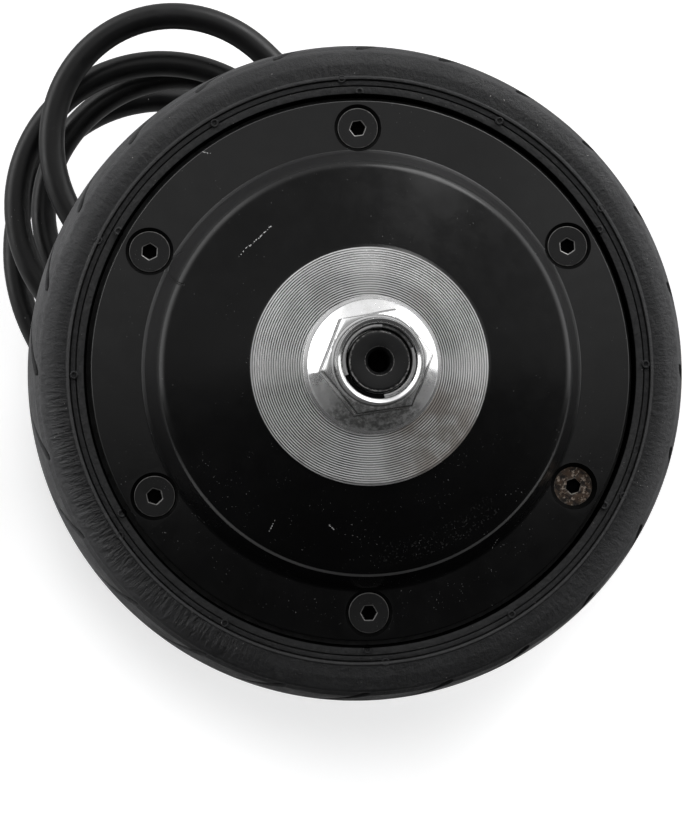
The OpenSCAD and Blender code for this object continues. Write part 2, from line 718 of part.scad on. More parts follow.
axle();
axle_key();
stator_hub();
stator_core();
front_insulator();
rear_insulator();
stator_coils();
hall_board();
hall_sensors();
phase_leads();
hall_leads();
cable_sheath();
cable_gland();
cable_boot();
phase_wires();
phase_plugs();
hall_wires();
hall_plug();
front_inner_race();
rear_inner_race();
front_spacer();
rear_spacer();
front_washer();
front_nut();
front_nut_lock_ring();
rear_torque_washer();
rear_washer();
rear_nut();
rear_nut_lock_ring();
tyre();
rim();
front_cover();
rear_cover();
front_cover_screws();
rear_cover_screws();
front_cover_seal();
rear_cover_seal();
rotor_ring();
magnets();
front_outer_race();
rear_outer_race();
front_bearing_seals();
rear_bearing_seals();
front_shaft_seal();
rear_shaft_seal();
front_bearing_cage();
front_bearing_balls();
rear_bearing_cage();
rear_bearing_balls();
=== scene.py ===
"""The looks of a hub motor wheel, built round its CAD frame.

Lengths are drawn in millimetres as (x, y, h), seen from the front: x to the right, y up, h along the axle.
front() and rear() turn them into metres in the frame, where the wheel spins about Y and faces -Y.
"""

import json
import math

import bmesh
import bpy
import numpy as np
from mathutils import Matrix, Vector


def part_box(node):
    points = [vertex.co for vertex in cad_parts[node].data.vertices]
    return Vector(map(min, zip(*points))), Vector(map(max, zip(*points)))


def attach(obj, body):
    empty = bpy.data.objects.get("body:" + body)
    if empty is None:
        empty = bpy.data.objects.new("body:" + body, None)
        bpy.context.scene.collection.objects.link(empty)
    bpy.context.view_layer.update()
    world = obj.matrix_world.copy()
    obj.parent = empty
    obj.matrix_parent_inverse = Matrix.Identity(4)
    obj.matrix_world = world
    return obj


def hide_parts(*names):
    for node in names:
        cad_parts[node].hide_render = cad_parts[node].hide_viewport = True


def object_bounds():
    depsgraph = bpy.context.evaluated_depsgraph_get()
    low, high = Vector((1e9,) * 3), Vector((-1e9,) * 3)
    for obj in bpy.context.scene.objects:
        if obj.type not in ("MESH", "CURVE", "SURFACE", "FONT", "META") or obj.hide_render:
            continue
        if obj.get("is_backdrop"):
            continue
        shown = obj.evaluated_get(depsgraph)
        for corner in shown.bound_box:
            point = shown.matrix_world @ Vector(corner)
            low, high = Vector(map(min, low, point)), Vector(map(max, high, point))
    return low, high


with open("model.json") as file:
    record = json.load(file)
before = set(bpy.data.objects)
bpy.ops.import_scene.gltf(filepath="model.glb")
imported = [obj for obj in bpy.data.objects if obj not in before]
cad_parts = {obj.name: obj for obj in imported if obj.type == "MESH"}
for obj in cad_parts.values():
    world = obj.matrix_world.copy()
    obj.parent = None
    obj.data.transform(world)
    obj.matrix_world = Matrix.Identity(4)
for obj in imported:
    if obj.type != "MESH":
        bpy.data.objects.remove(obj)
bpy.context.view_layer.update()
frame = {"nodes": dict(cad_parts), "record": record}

MM = 0.001
BODY_OF = {node: body for body, nodes in frame["record"]["behaviour"]["bodies"].items() for node in nodes}


def front(points):
    """Metres in the frame, for points drawn from the front with h towards it."""
    p = np.asarray(points, float) * MM
    return np.stack([p[..., 0], -p[..., 2], p[..., 1]], -1)


def rear(points):
    """The same for a part that is mirrored to the rear."""
    p = np.asarray(points, float) * MM
    return np.stack([p[..., 0], p[..., 2], p[..., 1]], -1)


SIDES = {"front": front, "rear": rear}


# ---------------------------------------------------------------- sizes, in millimetres

TYRE_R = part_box("tyre")[1].z / MM
TYRE_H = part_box("tyre")[1].y / MM
LIP_R = 67.1
SEAT_R = 68.12
RIM_H = 17.52
CROWN_R = 60

COVER_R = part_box("front_cover")[1].x / MM
PLATE_H = 21.5
OPENING_R = 13
TOOL_START_R = 16.3
TOOL_PITCH = 0.555
DRUM_FOOT_R = 53.6
DRUM_TOP_R = 49.3
SPIGOT_R = 55.45
SPIGOT_H = 15.6
POCKET_R = 17.52
SCREW_CIRCLE_R = 59
SCREW_COUNT = 6
SCREW_CLOCKS = [-360 / SCREW_COUNT * k for k in range(SCREW_COUNT)]
SINK_R = 5.75
SCREW_HOLE_R = 2.75
SCREW_HEAD_R = 4.95
SCREW_TOP_H = 20.95
SCREW_END_H = 8
SCREW_R = 2.5
SOCKET_AF = 3.2

FRONT_TIP_H = -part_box("axle")[0].y / MM
REAR_TIP_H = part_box("axle")[1].y / MM
THREAD_R = {"front": 7, "rear": 8}
FLATS_W = 12
FLATS_H = 34.5
FLATS_EDGE = 0.01
CABLE_BORE_R = 3.9
TIP_HOLE_R = 2.5
STACK_H = {"front": 35, "rear": 32}
WASHER_H = {"front": 41, "rear": 37}
WASHER_T = 2.5
WASHER_R = 16.1
SPACER_R = 10.5
NUT_H = {"front": 43.5, "rear": 42}
NUT_AF = {"front": 22, "rear": 24}
HEX_TURN = {"front": 7.4, "rear": 0}
JAW_TOP_H = 59.5

CABLE_R = 3.5


# ---------------------------------------------------------------- mesh building

def turn(count, start=0.0, stop=360.0):
    """Angles in radians round the axle; a full turn leaves out its last angle."""
    return np.radians(np.linspace(start, stop, count, endpoint=stop - start < 360))


def polar(rows, angles):
    """Points of a grid round the axle. Each row is (r, h), and r or h may vary with the angle."""
    out = np.zeros((len(rows), len(angles), 3))
    for i, (r, h) in enumerate(rows):
        out[i, :, 0] = r * np.cos(angles)
        out[i, :, 1] = r * np.sin(angles)
        out[i, :, 2] = h
    return out


def grid_faces(rows, cols, wrap_rows=False, wrap_cols=True):
    """Quads of a grid, closed round its rows and columns where wrapped."""
    i = np.arange(rows if wrap_rows else rows - 1)[:, None]
    j = np.arange(cols if wrap_cols else cols - 1)[None, :]
    a = i * cols + j
    b = i * cols + (j + 1) % cols
    c = (i + 1) % rows * cols + (j + 1) % cols
    d = (i + 1) % rows * cols + j
    return np.stack([a, b, c, d], -1).reshape(-1, 4).tolist()


def grid_part(grid, wrap_rows=True):
    """The points and faces of a grid whose first and last rows are joined, or else closed with a face."""
    rows, cols = grid.shape[:2]
    faces = grid_faces(rows, cols, wrap_rows)
    if not wrap_rows:
        faces += [list(range(cols)), list(range((rows - 1) * cols, rows * cols))]
    return grid.reshape(-1, 3), faces


def ring_body(rows, angles):
    """A closed solid of revolution from an outline that doesn't touch the axle."""
    return grid_part(polar(rows, angles))


def capped_body(rows, angles):
    """A solid of revolution whose first and last rows are closed with a point on the axle."""
    n = len(angles)
    points = polar(rows, angles).reshape(-1, 3)
    faces = grid_faces(len(rows), n)
    for row, h in ((0, rows[0][1]), (len(rows) - 1, rows[-1][1])):
        centre = len(points)
        points = np.vstack([points, [0, 0, np.mean(h)]])
        faces += [[row * n + j, row * n + (j + 1) % n, centre] for j in range(n)]
    return points, faces


def arc_body(rows, start, stop, steps=48):
    """A closed outline swept through part of a turn, with flat ends."""
    angles = turn(steps, start, stop)
    n = len(angles)
    points = polar(rows, angles).reshape(-1, 3)
    faces = grid_faces(len(rows), n, wrap_rows=True, wrap_cols=False)
    faces += [[i * n for i in range(len(rows))], [i * n + n - 1 for i in range(len(rows))]]
    return points, faces


def joined(parts):
    """Several (points, faces) as one."""
    points, faces, base = [], [], 0
    for p, f in parts:
        points.append(np.asarray(p).reshape(-1, 3))
        faces += [[k + base for k in face] for face in f]
        base += len(points[-1])
    return np.vstack(points), faces


def shifted(part, shift):
    points, faces = part
    return points + np.array(shift), faces


def at_clock(part, clock, radius):
    """A drawn part shifted to a place on the wheel's face."""
    a = math.radians(90 - clock)
    return shifted(part, (radius * math.cos(a), radius * math.sin(a), 0))


def run_along(path):
    """The distance run at each point of a path."""
    return np.concatenate([[0], np.cumsum(np.linalg.norm(np.diff(path, axis=0), axis=1))])


def sample(path, run, distances):
    """Points at these distances along a path."""
    return np.stack([np.interp(distances, run, column) for column in path.T], -1)


def rounded(outline, radius=0.3, steps=3, closed=True):
    """The outline with each corner turned into an arc. A point (r, h, radius) sets its own."""
    out = []
    n = len(outline)
    for i, corner in enumerate(outline):
        p = np.array(corner[:2], float)
        want = corner[2] if len(corner) > 2 else radius
        before = np.array(outline[i - 1][:2], float)
        after = np.array(outline[(i + 1) % n][:2], float)
        la, lb = np.linalg.norm(before - p), np.linalg.norm(after - p)
        if want <= 0 or (not closed and i in (0, n - 1)) or min(la, lb) < 1e-9:
            out.append(tuple(p))
            continue
        ua, ub = (before - p) / la, (after - p) / lb
        half = math.acos(max(-1, min(1, float(ua @ ub)))) / 2
        if half > math.radians(88):
            out.append(tuple(p))
            continue
        back = min(want / math.tan(half), 0.49 * la, 0.49 * lb)
        r = back * math.tan(half)
        centre = p + (ua + ub) / np.linalg.norm(ua + ub) * r / math.sin(half)
        va, vb = p + ua * back - centre, p + ub * back - centre
        sweep = math.pi - 2 * half
        for k in range(steps + 1):
            t = k / steps
            w = (math.sin((1 - t) * sweep) * va + math.sin(t * sweep) * vb) / math.sin(sweep)
            out.append(tuple(centre + w))
    return out


def piece(name, part, place, materials, node=None, sharp=32, wear_and_cut_depth=None):
    """Makes the mesh object, lets it stand for its CAD node and puts it on that node's body."""
    points, faces = part
    node = node or name
    mesh = bpy.data.meshes.new(name)
    mesh.from_pydata(place(points).tolist(), [], faces)
    if wear_and_cut_depth is not None:
        mesh.attributes.new("wear_and_cut_depth", "FLOAT", "POINT").data.foreach_set("value", np.asarray(wear_and_cut_depth, np.float32))
    outward(mesh)
    obj = bpy.data.objects.new(name, mesh)
    bpy.context.scene.collection.objects.link(obj)
    for material in materials:
        mesh.materials.append(material)
    smooth(mesh, sharp)
    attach(obj, BODY_OF[node])
    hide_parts(node)
    return obj


def outward(mesh):
    """Turns every face to point out of its solid."""
    bm = bmesh.new()
    bm.from_mesh(mesh)
    bmesh.ops.recalc_face_normals(bm, faces=bm.faces)
    bm.to_mesh(mesh)
    bm.free()


def smooth(mesh, sharp):
    mesh.shade_smooth()
    mesh.set_sharp_from_angle(angle=math.radians(sharp))


def combine(obj, parts, place, operation):
    """Joins drawn parts to an object's mesh, or takes them away."""
    points, faces = joined(parts)
    mesh = bpy.data.meshes.new("tool")
    mesh.from_pydata(place(points).tolist(), [], faces)
    outward(mesh)
    tool = bpy.data.objects.new("tool", mesh)
    bpy.context.scene.collection.objects.link(tool)
    modifier = obj.modifiers.new("combine", "BOOLEAN")
    modifier.operation = operation
    modifier.solver = "EXACT"
    modifier.object = tool
    graph = bpy.context.evaluated_depsgraph_get()
    graph.update()
    result = bpy.data.meshes.new_from_object(obj.evaluated_get(graph))
    obj.modifiers.clear()
    obj.data = result
    bpy.data.objects.remove(tool)


# ---------------------------------------------------------------- materials

class Nodes:
    """Short calls for the nodes of one tree."""

    def __init__(self, tree):
        self.tree = tree

    def node(self, kind, **settings):
        made = self.tree.nodes.new(kind)
        for key, value in settings.items():
            setattr(made, key, value)
        return made

    def put(self, socket, value):
        """Links or sets an input. A plain number given as a colour is a grey."""
        if isinstance(value, bpy.types.NodeSocket):
            self.tree.links.new(value, socket)
            return
        if socket.type == "RGBA":
            value = (*value, 1.0) if isinstance(value, tuple) else (value, value, value, 1.0)
        socket.default_value = value

    def math(self, operation, a, b=0.0):
        made = self.node("ShaderNodeMath", operation=operation)
        self.put(made.inputs[0], a)
        self.put(made.inputs[1], b)
        return made.outputs[0]

    def add(self, a, b):
        return self.math("ADD", a, b)

    def less(self, a, b):
        """a less b"""
        return self.math("SUBTRACT", a, b)

    def rest(self, a):
        """What a leaves of 1"""
        return self.math("SUBTRACT", 1.0, a)

    def size(self, a):
        """a without its sign"""
        return self.math("ABSOLUTE", a)

    def times(self, *values):
        out = values[0]
        for value in values[1:]:
            out = self.math("MULTIPLY", out, value)
        return out

    def either(self, *masks):
        out = masks[0]
        for mask in masks[1:]:
            out = self.math("MAXIMUM", out, mask)
        return out

    def span(self, value, low, high, out_low=0.0, out_high=1.0):
        """value from low..high to out_low..out_high, smoothly and clamped."""
        made = self.node("ShaderNodeMapRange", interpolation_type="SMOOTHSTEP")
        self.put(made.inputs["Value"], value)
        self.put(made.inputs["From Min"], low)
        self.put(made.inputs["From Max"], high)
        self.put(made.inputs["To Min"], out_low)
        self.put(made.inputs["To Max"], out_high)
        return made.outputs["Result"]

    def axes(self, vector):
        made = self.node("ShaderNodeSeparateXYZ")
        self.put(made.inputs[0], vector)
        return made.outputs["X"], made.outputs["Y"], made.outputs["Z"]


class Shade(Nodes):
    """A node material. Pattern sizes are in millimetres, and so are x, y and h, as seen from the front."""

    def __init__(self, name):
        self.material = bpy.data.materials.new(name)
        self.material.use_nodes = True
        super().__init__(self.material.node_tree)
        self.bsdf = self.tree.nodes["Principled BSDF"]
        self.point = self.node("ShaderNodeTexCoord").outputs["Object"]
        x, y, z = self.axes(self.point)
        self.x = self.times(x, 1 / MM)
        self.y = self.times(z, 1 / MM)
        self.h = self.times(y, -1 / MM)

    def noise(self, size, detail=3.0, rough=0.5, at=None):
        """Noise with blobs of about this size, from 0 to 1."""
        made = self.node("ShaderNodeTexNoise")
        self.put(made.inputs["Vector"], self.point if at is None else at)
        self.put(made.inputs["Scale"], 1 / (size * MM))
        self.put(made.inputs["Detail"], detail)
        self.put(made.inputs["Roughness"], rough)
        return made.outputs["Fac"]

    def mix(self, factor, a, b):
        made = self.node("ShaderNodeMix", data_type="RGBA")
        self.put(made.inputs[0], factor)
        self.put(made.inputs[6], a)
        self.put(made.inputs[7], b)
        return made.outputs[2]

    def wear_and_cut_depth(self):
        """How worn the mesh is, from 0 to 1; on the tyre, how deep its tread cuts sink instead."""
        return self.node("ShaderNodeAttribute", attribute_name="wear_and_cut_depth").outputs["Fac"]

    def paint(self, color, *layers):
        """A colour with layers over it. Each layer is (mask, colour)."""
        for mask, layer in layers:
            color = self.mix(mask, color, layer)
        return color

    def relief(self, *layers):
        """A bumpy normal. Each layer is (height, how far in millimetres height 1 stands above height 0)."""
        normal = None
        for height, depth in layers:
            made = self.node("ShaderNodeBump")
            self.put(made.inputs["Strength"], 1.0)
            self.put(made.inputs["Distance"], depth * MM)
            self.put(made.inputs["Height"], height)
            if normal:
                self.put(made.inputs["Normal"], normal)
            normal = made.outputs["Normal"]
        return normal

    def radius(self, centre=(0, 0)):
        """Distance from the axle, or from another centre, seen from the front."""
        x = self.less(self.x, centre[0])
        y = self.less(self.y, centre[1])
        return self.math("SQRT", self.add(self.times(x, x), self.times(y, y)))

    def clock(self):
        """Angle clockwise from the top, seen from the front, in degrees from -180 to 180."""
        return self.times(self.math("ARCTAN2", self.x, self.y), 180 / math.pi)

    def near(self, value, middle, half, soft=0.3):
        """1 where value is within half of the middle, 0 beyond the soft edge."""
        off = self.size(self.less(value, middle))
        return self.span(off, half, half + soft, 1.0, 0.0)

    def stroke(self, start, end, half, wander=1.1):
        """1 along a broken scratch from start to end, both (x, y) on the front face."""
        dx, dy = end[0] - start[0], end[1] - start[1]
        length = math.hypot(dx, dy)
        ux, uy = dx / length, dy / length
        x = self.less(self.x, start[0])
        y = self.less(self.y, start[1])
        along = self.add(self.times(x, ux), self.times(y, uy))
        across = self.less(self.times(y, ux), self.times(x, uy))
        drift = self.times(self.less(self.noise(2.2), 0.5), wander)
        line = self.near(self.add(across, drift), 0, half * 0.4, half * 0.6)
        inside = self.near(along, length / 2, length / 2 - 0.2)
        broken = self.span(self.noise(0.45, 2), 0.48, 0.56)
        return self.times(line, inside, broken)

    def specks(self, size, amount, field=12):
        """Small flecks, gathered in some parts of the surface. amount is from 0 to 1."""
        edge = 0.8 - 0.12 * amount
        flecks = self.span(self.noise(size, 1), edge, edge + 0.015)
        return self.times(flecks, self.span(self.noise(field, 3), 0.5, 0.62))

    def finish(self, color, roughness, metallic=0.0, normal=None, **others):
        """Sets the shader's inputs. Others go by the input's name, such as specular_ior_level."""
        self.put(self.bsdf.inputs["Base Color"], color)
        self.put(self.bsdf.inputs["Roughness"], roughness)
        self.put(self.bsdf.inputs["Metallic"], metallic)
        if normal is not None:
            self.put(self.bsdf.inputs["Normal"], normal)
        for name, value in others.items():
            self.put(self.bsdf.inputs[name.replace("_", " ").title().replace("Ior", "IOR")], value)
        return self.material


def tyre_rubber():
    s = Shade("tyre_rubber")
    r = s.radius()
    clock = s.clock()
    from_top = s.size(clock)
    cloud = s.span(s.noise(9, 5, 0.6), 0.3, 0.7)
    mottle = s.span(s.noise(1.2, 5, 0.7), 0.3, 0.72)
    dust = s.span(s.noise(2.6, 6, 0.75), 0.52, 0.8)
    # painted highlight on the side face's ridge, lighter away from the top
    ridge_highlight = s.times(s.near(r, 71.2, 0.2, 0.25), s.span(from_top, 20, 80, 0.15, 0.5))
    # painted shade in the side face's two fine grooves
    groove = s.either(s.near(r, 69.25, 0.08, 0.16), s.near(r, 70.68, 0.08, 0.16))
    # painted light: the outer side face is lighter at the sides, less at the top and not at the bottom
    outer = s.times(
        s.span(r, 71.5, 79), s.span(from_top, 110, 155, 1, 0), s.span(from_top, 15, 80, 0.35, 1))
    # painted highlight on the lip, dimmer towards the bottom
    lip_highlight = s.times(
        s.near(r, 68.25, 0.75, 0.3), s.span(from_top, 100, 150, 1, 0.35), s.span(mottle, 0, 1, 0.4, 1))
    # painted shade on the wall of the gap beside the cover, which also loses its shine
    wall = s.span(r, LIP_R + 0.2, LIP_R + 0.5, 1, 0)
    # painted shade in the tread cuts, darker where they sink deeper
    color = s.paint(
        (0.0065, 0.0065, 0.007), (cloud, (0.014, 0.0145, 0.0155)), (outer, (0.11, 0.1105, 0.114)),
        (s.times(lip_highlight, 0.4), 0.06), (s.times(mottle, 0.5), (0.03, 0.03, 0.032)),
        (s.times(dust, 0.45), (0.075, 0.075, 0.076)), (ridge_highlight, (0.11, 0.11, 0.112)),
        (s.times(groove, 0.85), 0.002), (s.specks(0.5, 0.25, 6), (0.45, 0.44, 0.42)),
        (s.span(s.wear_and_cut_depth(), 0.05, 0.5), 0.002), (wall, 0.0015))
    # radial wrinkles on the side face, deepest at the lower left
    around = s.node("ShaderNodeCombineXYZ")
    s.put(around.inputs[0], s.times(clock, math.pi / 180 * 0.074))
    s.put(around.inputs[1], s.times(r, MM * 0.22))
    field = s.times(s.span(r, 71.3, 72.2), s.span(r, 75, 77.5, 1, 0))
    wrinkle = s.times(s.span(s.noise(0.95, 3, 0.55, at=around.outputs[0]), 0.35, 0.65), field,
                      s.span(s.size(s.add(clock, 123)), 16, 40, 1, 0.12))
    normal = s.relief((wrinkle, 0.34), (s.noise(0.4, 4, 0.6), 0.05), (mottle, 0.09), (s.noise(3.2, 4), 0.2))
    rough = s.span(cloud, 0, 1, 0.5, 0.68)
    return s.finish(color, rough, normal=normal, specular_ior_level=s.span(wall, 0, 1, 0.45, 0))


def cover_paint():
    s = Shade("cover_paint")
    r = s.radius()
    cloud = s.span(s.noise(14, 4, 0.6), 0.3, 0.7)
    # start, end, half width and wander of each scratch
    scratch = s.either(*[s.stroke(*marks) for marks in (
        ((-30.3, 26.4), (-22.0, 33.5), 0.16), ((-38.2, 53.6), (-35.9, 53.1), 0.14, 0.5),
        ((-28, -1.5), (-26.5, -3.4), 0.12), ((30.5, -44.2), (31.8, -41.5), 0.1),
        ((-22.8, -35.4), (-24.2, -38.2), 0.16, 0.5), ((-10.2, -36.8), (-9.0, -38.1), 0.18, 0.3))])
    arc = s.times(s.near(r, 44, 2.2, 1), s.near(s.clock(), 158, 17, 5))
    graze = s.times(arc, s.span(s.noise(0.6, 3), 0.6, 0.66))
    lower = s.span(s.y, -30, -12, 1, 0)
    dots = s.either(s.specks(0.42, 0.2), s.times(s.specks(0.4, 0.5, 7), lower))
    # painted light: the drum's wall is lighter than the rest of the paint, fading out towards the bottom
    wall = s.times(s.near(r, 51.5, 1.9, 0.4), s.span(s.y, -45, 15))
    # painted highlight: a thin light line round the cover's edge, fading out towards the bottom
    rubbed_and_highlight = s.times(s.near(r, COVER_R - 0.12, 0.08, 0.1), s.span(s.y, -45, 0), 0.6)
    # painted highlight: a thin light line on the drum's top edge, on its lower part
    drum_edge_highlight = s.times(s.near(r, DRUM_TOP_R, 0.18, 0.25), s.span(s.y, -15, -32))
    color = s.paint(
        (0.001, 0.001, 0.0011), (cloud, (0.0024, 0.0024, 0.0026)), (wall, (0.014, 0.014, 0.0145)),
        (s.either(rubbed_and_highlight, drum_edge_highlight), 0.12), (s.times(graze, 0.2), 0.12), (s.times(dots, 0.8), 0.3),
        (scratch, 0.7))
    rough = s.add(s.span(s.noise(5, 5, 0.65), 0.3, 0.7, 0.2, 0.27), s.times(wall, 0.2))
    # a curved casting mark on the drum's wall, beside the upper left screw
    mark = s.times(s.near(s.radius((-42.1, 24.6)), 4.4, 0.1, 0.2), s.near(s.x, -45.3, 2.0, 0.5))
    normal = s.relief((s.noise(0.9, 3), 0.008), (scratch, -0.05), (mark, -0.3))
    gloss = s.times(
        s.span(r, 49, 52, 0.36, 0.5), s.span(s.y, -50, -12, 0.6, 1), s.span(s.x, 25, 55, 1, 1.25))
    return s.finish(color, rough, normal=normal, specular_ior_level=gloss)


def turned_aluminium():
    """Bare metal with the lathe tool's rings, and painted shade in each ring that is strongest between the
    upright and the level.
    """
    s = Shade("turned_aluminium")
    r = s.radius()
    clock = s.clock()
    tangent = s.node("ShaderNodeTangent", direction_type="RADIAL", axis="Y")
    turns = s.less(s.times(s.less(r, TOOL_START_R), 1 / TOOL_PITCH), 0.24)
    # painted shade: a dark band in each tool ring, strongest on the diagonals and weaker in the stain
    dark_ring = s.span(s.math("PINGPONG", turns, 0.5), 0.17, 0.27, 1, 0)
    diagonal = s.span(s.math("PINGPONG", clock, 45), 3, 17, 0.65, 1)
    stain = s.times(s.near(clock, 134, 14, 30), s.span(s.noise(7, 4, 0.6), 0.25, 0.6))
    fine = s.span(s.noise(1.1, 4, 0.6), 0.2, 0.8, 0.8, 1)
    ring_shade = s.times(dark_ring, diagonal, fine, s.rest(s.times(stain, 0.35)))
    color = s.paint(
        1.0, (s.span(s.noise(8, 4, 0.6), 0.45, 0.75), (0.85, 0.845, 0.84)), (stain, (0.5, 0.46, 0.43)),
        (ring_shade, 0.012), (s.near(r, 28.35, 0.3, 0.2), 0.02))
    rough = s.span(s.noise(3, 4), 0.3, 0.7, 0.34, 0.44)
    return s.finish(color, rough, 1.0, s.relief((s.noise(0.3, 3), 0.004)), anisotropic=0.75,
                    tangent=tangent.outputs[0])


def zinc_plate(name, across=None, turn_deg=0.0):
    """Bright zinc. A nut also has painted shade in dark lines along its hexagon's edges, and a lower side
    darkened by grime and painted shade.
    """
    s = Shade(name)
    haze = s.span(s.noise(3.5, 5, 0.65), 0.4, 0.75)
    pit = s.span(s.noise(0.5, 2), 0.7, 0.78)
    rough = s.span(haze, 0, 1, 0.16, 0.3)
    color = s.paint((0.93, 0.93, 0.935), (haze, (0.8, 0.8, 0.79)), (s.times(pit, 0.6), (0.3, 0.29, 0.27)))
    if across:
        half, quarter = across / 2, across / 4
        hexa = s.either(*[s.size(s.add(s.times(s.x, math.cos(a)), s.times(s.y, math.sin(a))))
                          for a in np.radians([turn_deg + 30, turn_deg + 90, turn_deg + 150])])
        r = s.radius()
        # painted shade: dark lines along the flanks' foot and top edge, the chamfer's edge and the collar's
        # foot. The far flanks hide the flange beside them, so the line at their foot is wider
        hidden = s.times(s.span(s.x, -half, half), s.span(s.y, -half, -quarter), 0.9)
        past = s.less(hexa, s.add(hidden, half + 0.1))
        foot_shade = s.times(s.span(past, 0, 0.15, 1, 0), s.span(hexa, half, half + 0.08))
        line = s.either(foot_shade, s.near(hexa, half - 0.22, 0.04, 0.1), s.near(r, half - 0.5, 0.02, 0.1),
                        s.near(r, half - 1.15, 0.08, 0.12))
        # the nut's lower side is darker and mottled: partly grime, partly painted shade
        low = s.times(s.span(s.size(s.clock()), 126, 142), s.span(s.noise(1.3, 5, 0.7), 0.35, 0.62),
                      s.span(r, half - 1.3, half - 0.9))
        color = s.paint(color, (s.times(line, 0.8), 0.12), (s.times(low, 0.75), (0.16, 0.16, 0.155)))
        flat = s.near(hexa, half - 0.1, 0.3, 0.2)
        rough = s.add(rough, s.times(s.span(s.y, 0, -half), s.rest(flat), 0.25))
    return s.finish(color, rough, 1.0, s.relief((s.noise(1.6, 3), 0.02), (pit, -0.02)))


def spring_steel():
    """The lock ring: painted light on the jaws' tops and on the flat ring's upper outer edge, and painted
    shade on the rest, which sits in the nut's recess.
    """
    s = Shade("spring_steel")
    # painted light on the jaws' tops and on the flat ring's outer edge in its upper half; the rest is
    # painted shade
    lit = s.span(s.size(s.h), JAW_TOP_H - 1.2, JAW_TOP_H - 0.5)
    cloud = s.span(s.noise(0.7, 4, 0.6), 0.3, 0.7, 0.3, 1)
    base = s.times(s.span(s.radius(), 7.5, 7.9), cloud, s.span(s.y, -1, 2))
    color = s.paint(0.008, (base, 0.4), (lit, 0.55))
    rough = s.span(s.noise(1.5), 0.3, 0.7, 0.25, 0.4)
    return s.finish(color, rough, 1.0, s.relief((s.noise(0.4, 3), 0.01)))


def worn_black_steel():
    """Black oxide that has rubbed bright where the mesh's wear attribute is high."""
    s = Shade("worn_black_steel")
    patch = s.add(s.wear_and_cut_depth(), s.times(s.less(s.noise(0.8, 4, 0.7), 0.5), 1.1))
    bare = s.span(patch, 0.5, 0.75)
    cloud = s.noise(1.6, 4)
    color = s.paint((0.006, 0.006, 0.0063), (cloud, (0.014, 0.014, 0.0145)), (s.specks(0.3, 0.7, 2), 0.14),
                    (bare, (0.32, 0.315, 0.31)))
    return s.finish(color, s.span(cloud, 0.3, 0.7, 0.34, 0.5), s.span(bare, 0, 1, 0.2, 1),
                    s.relief((s.noise(0.25, 3), 0.012)))


def rusty_steel():
    s = Shade("rusty_steel")
    patch = s.span(s.noise(1.3, 5, 0.7), 0.4, 0.58)
    pale = s.span(s.noise(0.9, 4, 0.65), 0.52, 0.64)
    rubbed_and_highlight = s.times(s.wear_and_cut_depth(), s.span(s.noise(0.8), 0.4, 0.6))
    color = s.paint((0.008, 0.006, 0.005), (patch, (0.09, 0.055, 0.035)), (pale, (0.48, 0.4, 0.33)),
                    (rubbed_and_highlight, (0.3, 0.28, 0.25)))
    return s.finish(color, 0.6, 0.4, s.relief((s.noise(0.4, 4, 0.65), 0.06)))


def speckled(name, low, high, rough, size=1.5, grain=0.3, depth=0.01, metallic=0.0, **others):
    """Plastic, rubber or metal with soft colour variation and a fine grain."""
    s = Shade(name)
    color = s.mix(s.span(s.noise(size, 4, 0.6), 0.3, 0.7), low, high)
    roughness = s.span(s.noise(size * 1.7, 3), 0.3, 0.7, rough * 0.85, min(1.0, rough * 1.15))
    return s.finish(color, roughness, metallic, s.relief((s.noise(grain, 3), depth)), **others)


def cable_plastic():
    s = Shade("cable_plastic")
    dust = s.span(s.noise(1.6, 5, 0.7), 0.58, 0.8)
    color = s.paint((0.002, 0.002, 0.0022), (s.noise(20, 3), (0.005, 0.005, 0.0055)),
                    (s.times(dust, 0.1), 0.15), (s.specks(0.5, 0.2, 9), 0.5))
    rough = s.span(s.noise(4, 4), 0.3, 0.7, 0.34, 0.44)
    normal = s.relief((s.noise(0.5, 3), 0.008), (s.noise(7, 2), 0.05))
    return s.finish(color, rough, normal=normal, specular_ior_level=0.45)


def laminated_steel():
    s = Shade("laminated_steel")
    sheet = s.math("PINGPONG", s.h, 0.25)
    color = s.mix(s.span(sheet, 0, 0.06), (0.05, 0.05, 0.055), (0.34, 0.35, 0.37))
    return s.finish(color, s.span(s.noise(2), 0.3, 0.7, 0.35, 0.5), 0.9, s.relief((sheet, 0.08)))


def wound_copper():
    s = Shade("wound_copper")
    strand = s.math("PINGPONG", s.add(s.h, s.add(s.x, s.y)), 0.32)
    color = s.mix(s.span(strand, 0, 0.2), (0.16, 0.05, 0.02), (0.62, 0.25, 0.1))
    return s.finish(color, 0.32, 0.8, s.relief((strand, 0.3)))


RUBBER = tyre_rubber()
PAINT = cover_paint()
TURNED = turned_aluminium()
ZINC = zinc_plate("zinc_plate")
NUT_ZINC = {side: zinc_plate(side + "_nut_zinc", NUT_AF[side], HEX_TURN[side]) for side in NUT_AF}
SPRING_STEEL = spring_steel()
BLACK_STEEL = worn_black_steel()
RUST = rusty_steel()
CABLE = cable_plastic()
BARE_STEEL = speckled("bare_steel", 0.5, 0.62, 0.3, metallic=1.0)
GROUND_STEEL = speckled(
    "ground_steel", (0.55, 0.56, 0.58), (0.68, 0.68, 0.7), 0.18, metallic=1.0, depth=0.003)
CAST_ALUMINIUM = speckled(
    "cast_aluminium", (0.5, 0.5, 0.51), (0.66, 0.66, 0.67), 0.45, metallic=1.0, depth=0.03)
NICKEL = speckled("nickel", (0.52, 0.53, 0.56), (0.64, 0.65, 0.68), 0.22, metallic=1.0)
BRASS = speckled("brass", (0.6, 0.42, 0.18), (0.74, 0.55, 0.27), 0.3, metallic=1.0)
SOFT_BLACK = speckled("soft_black", 0.012, 0.024, 0.62, depth=0.02)
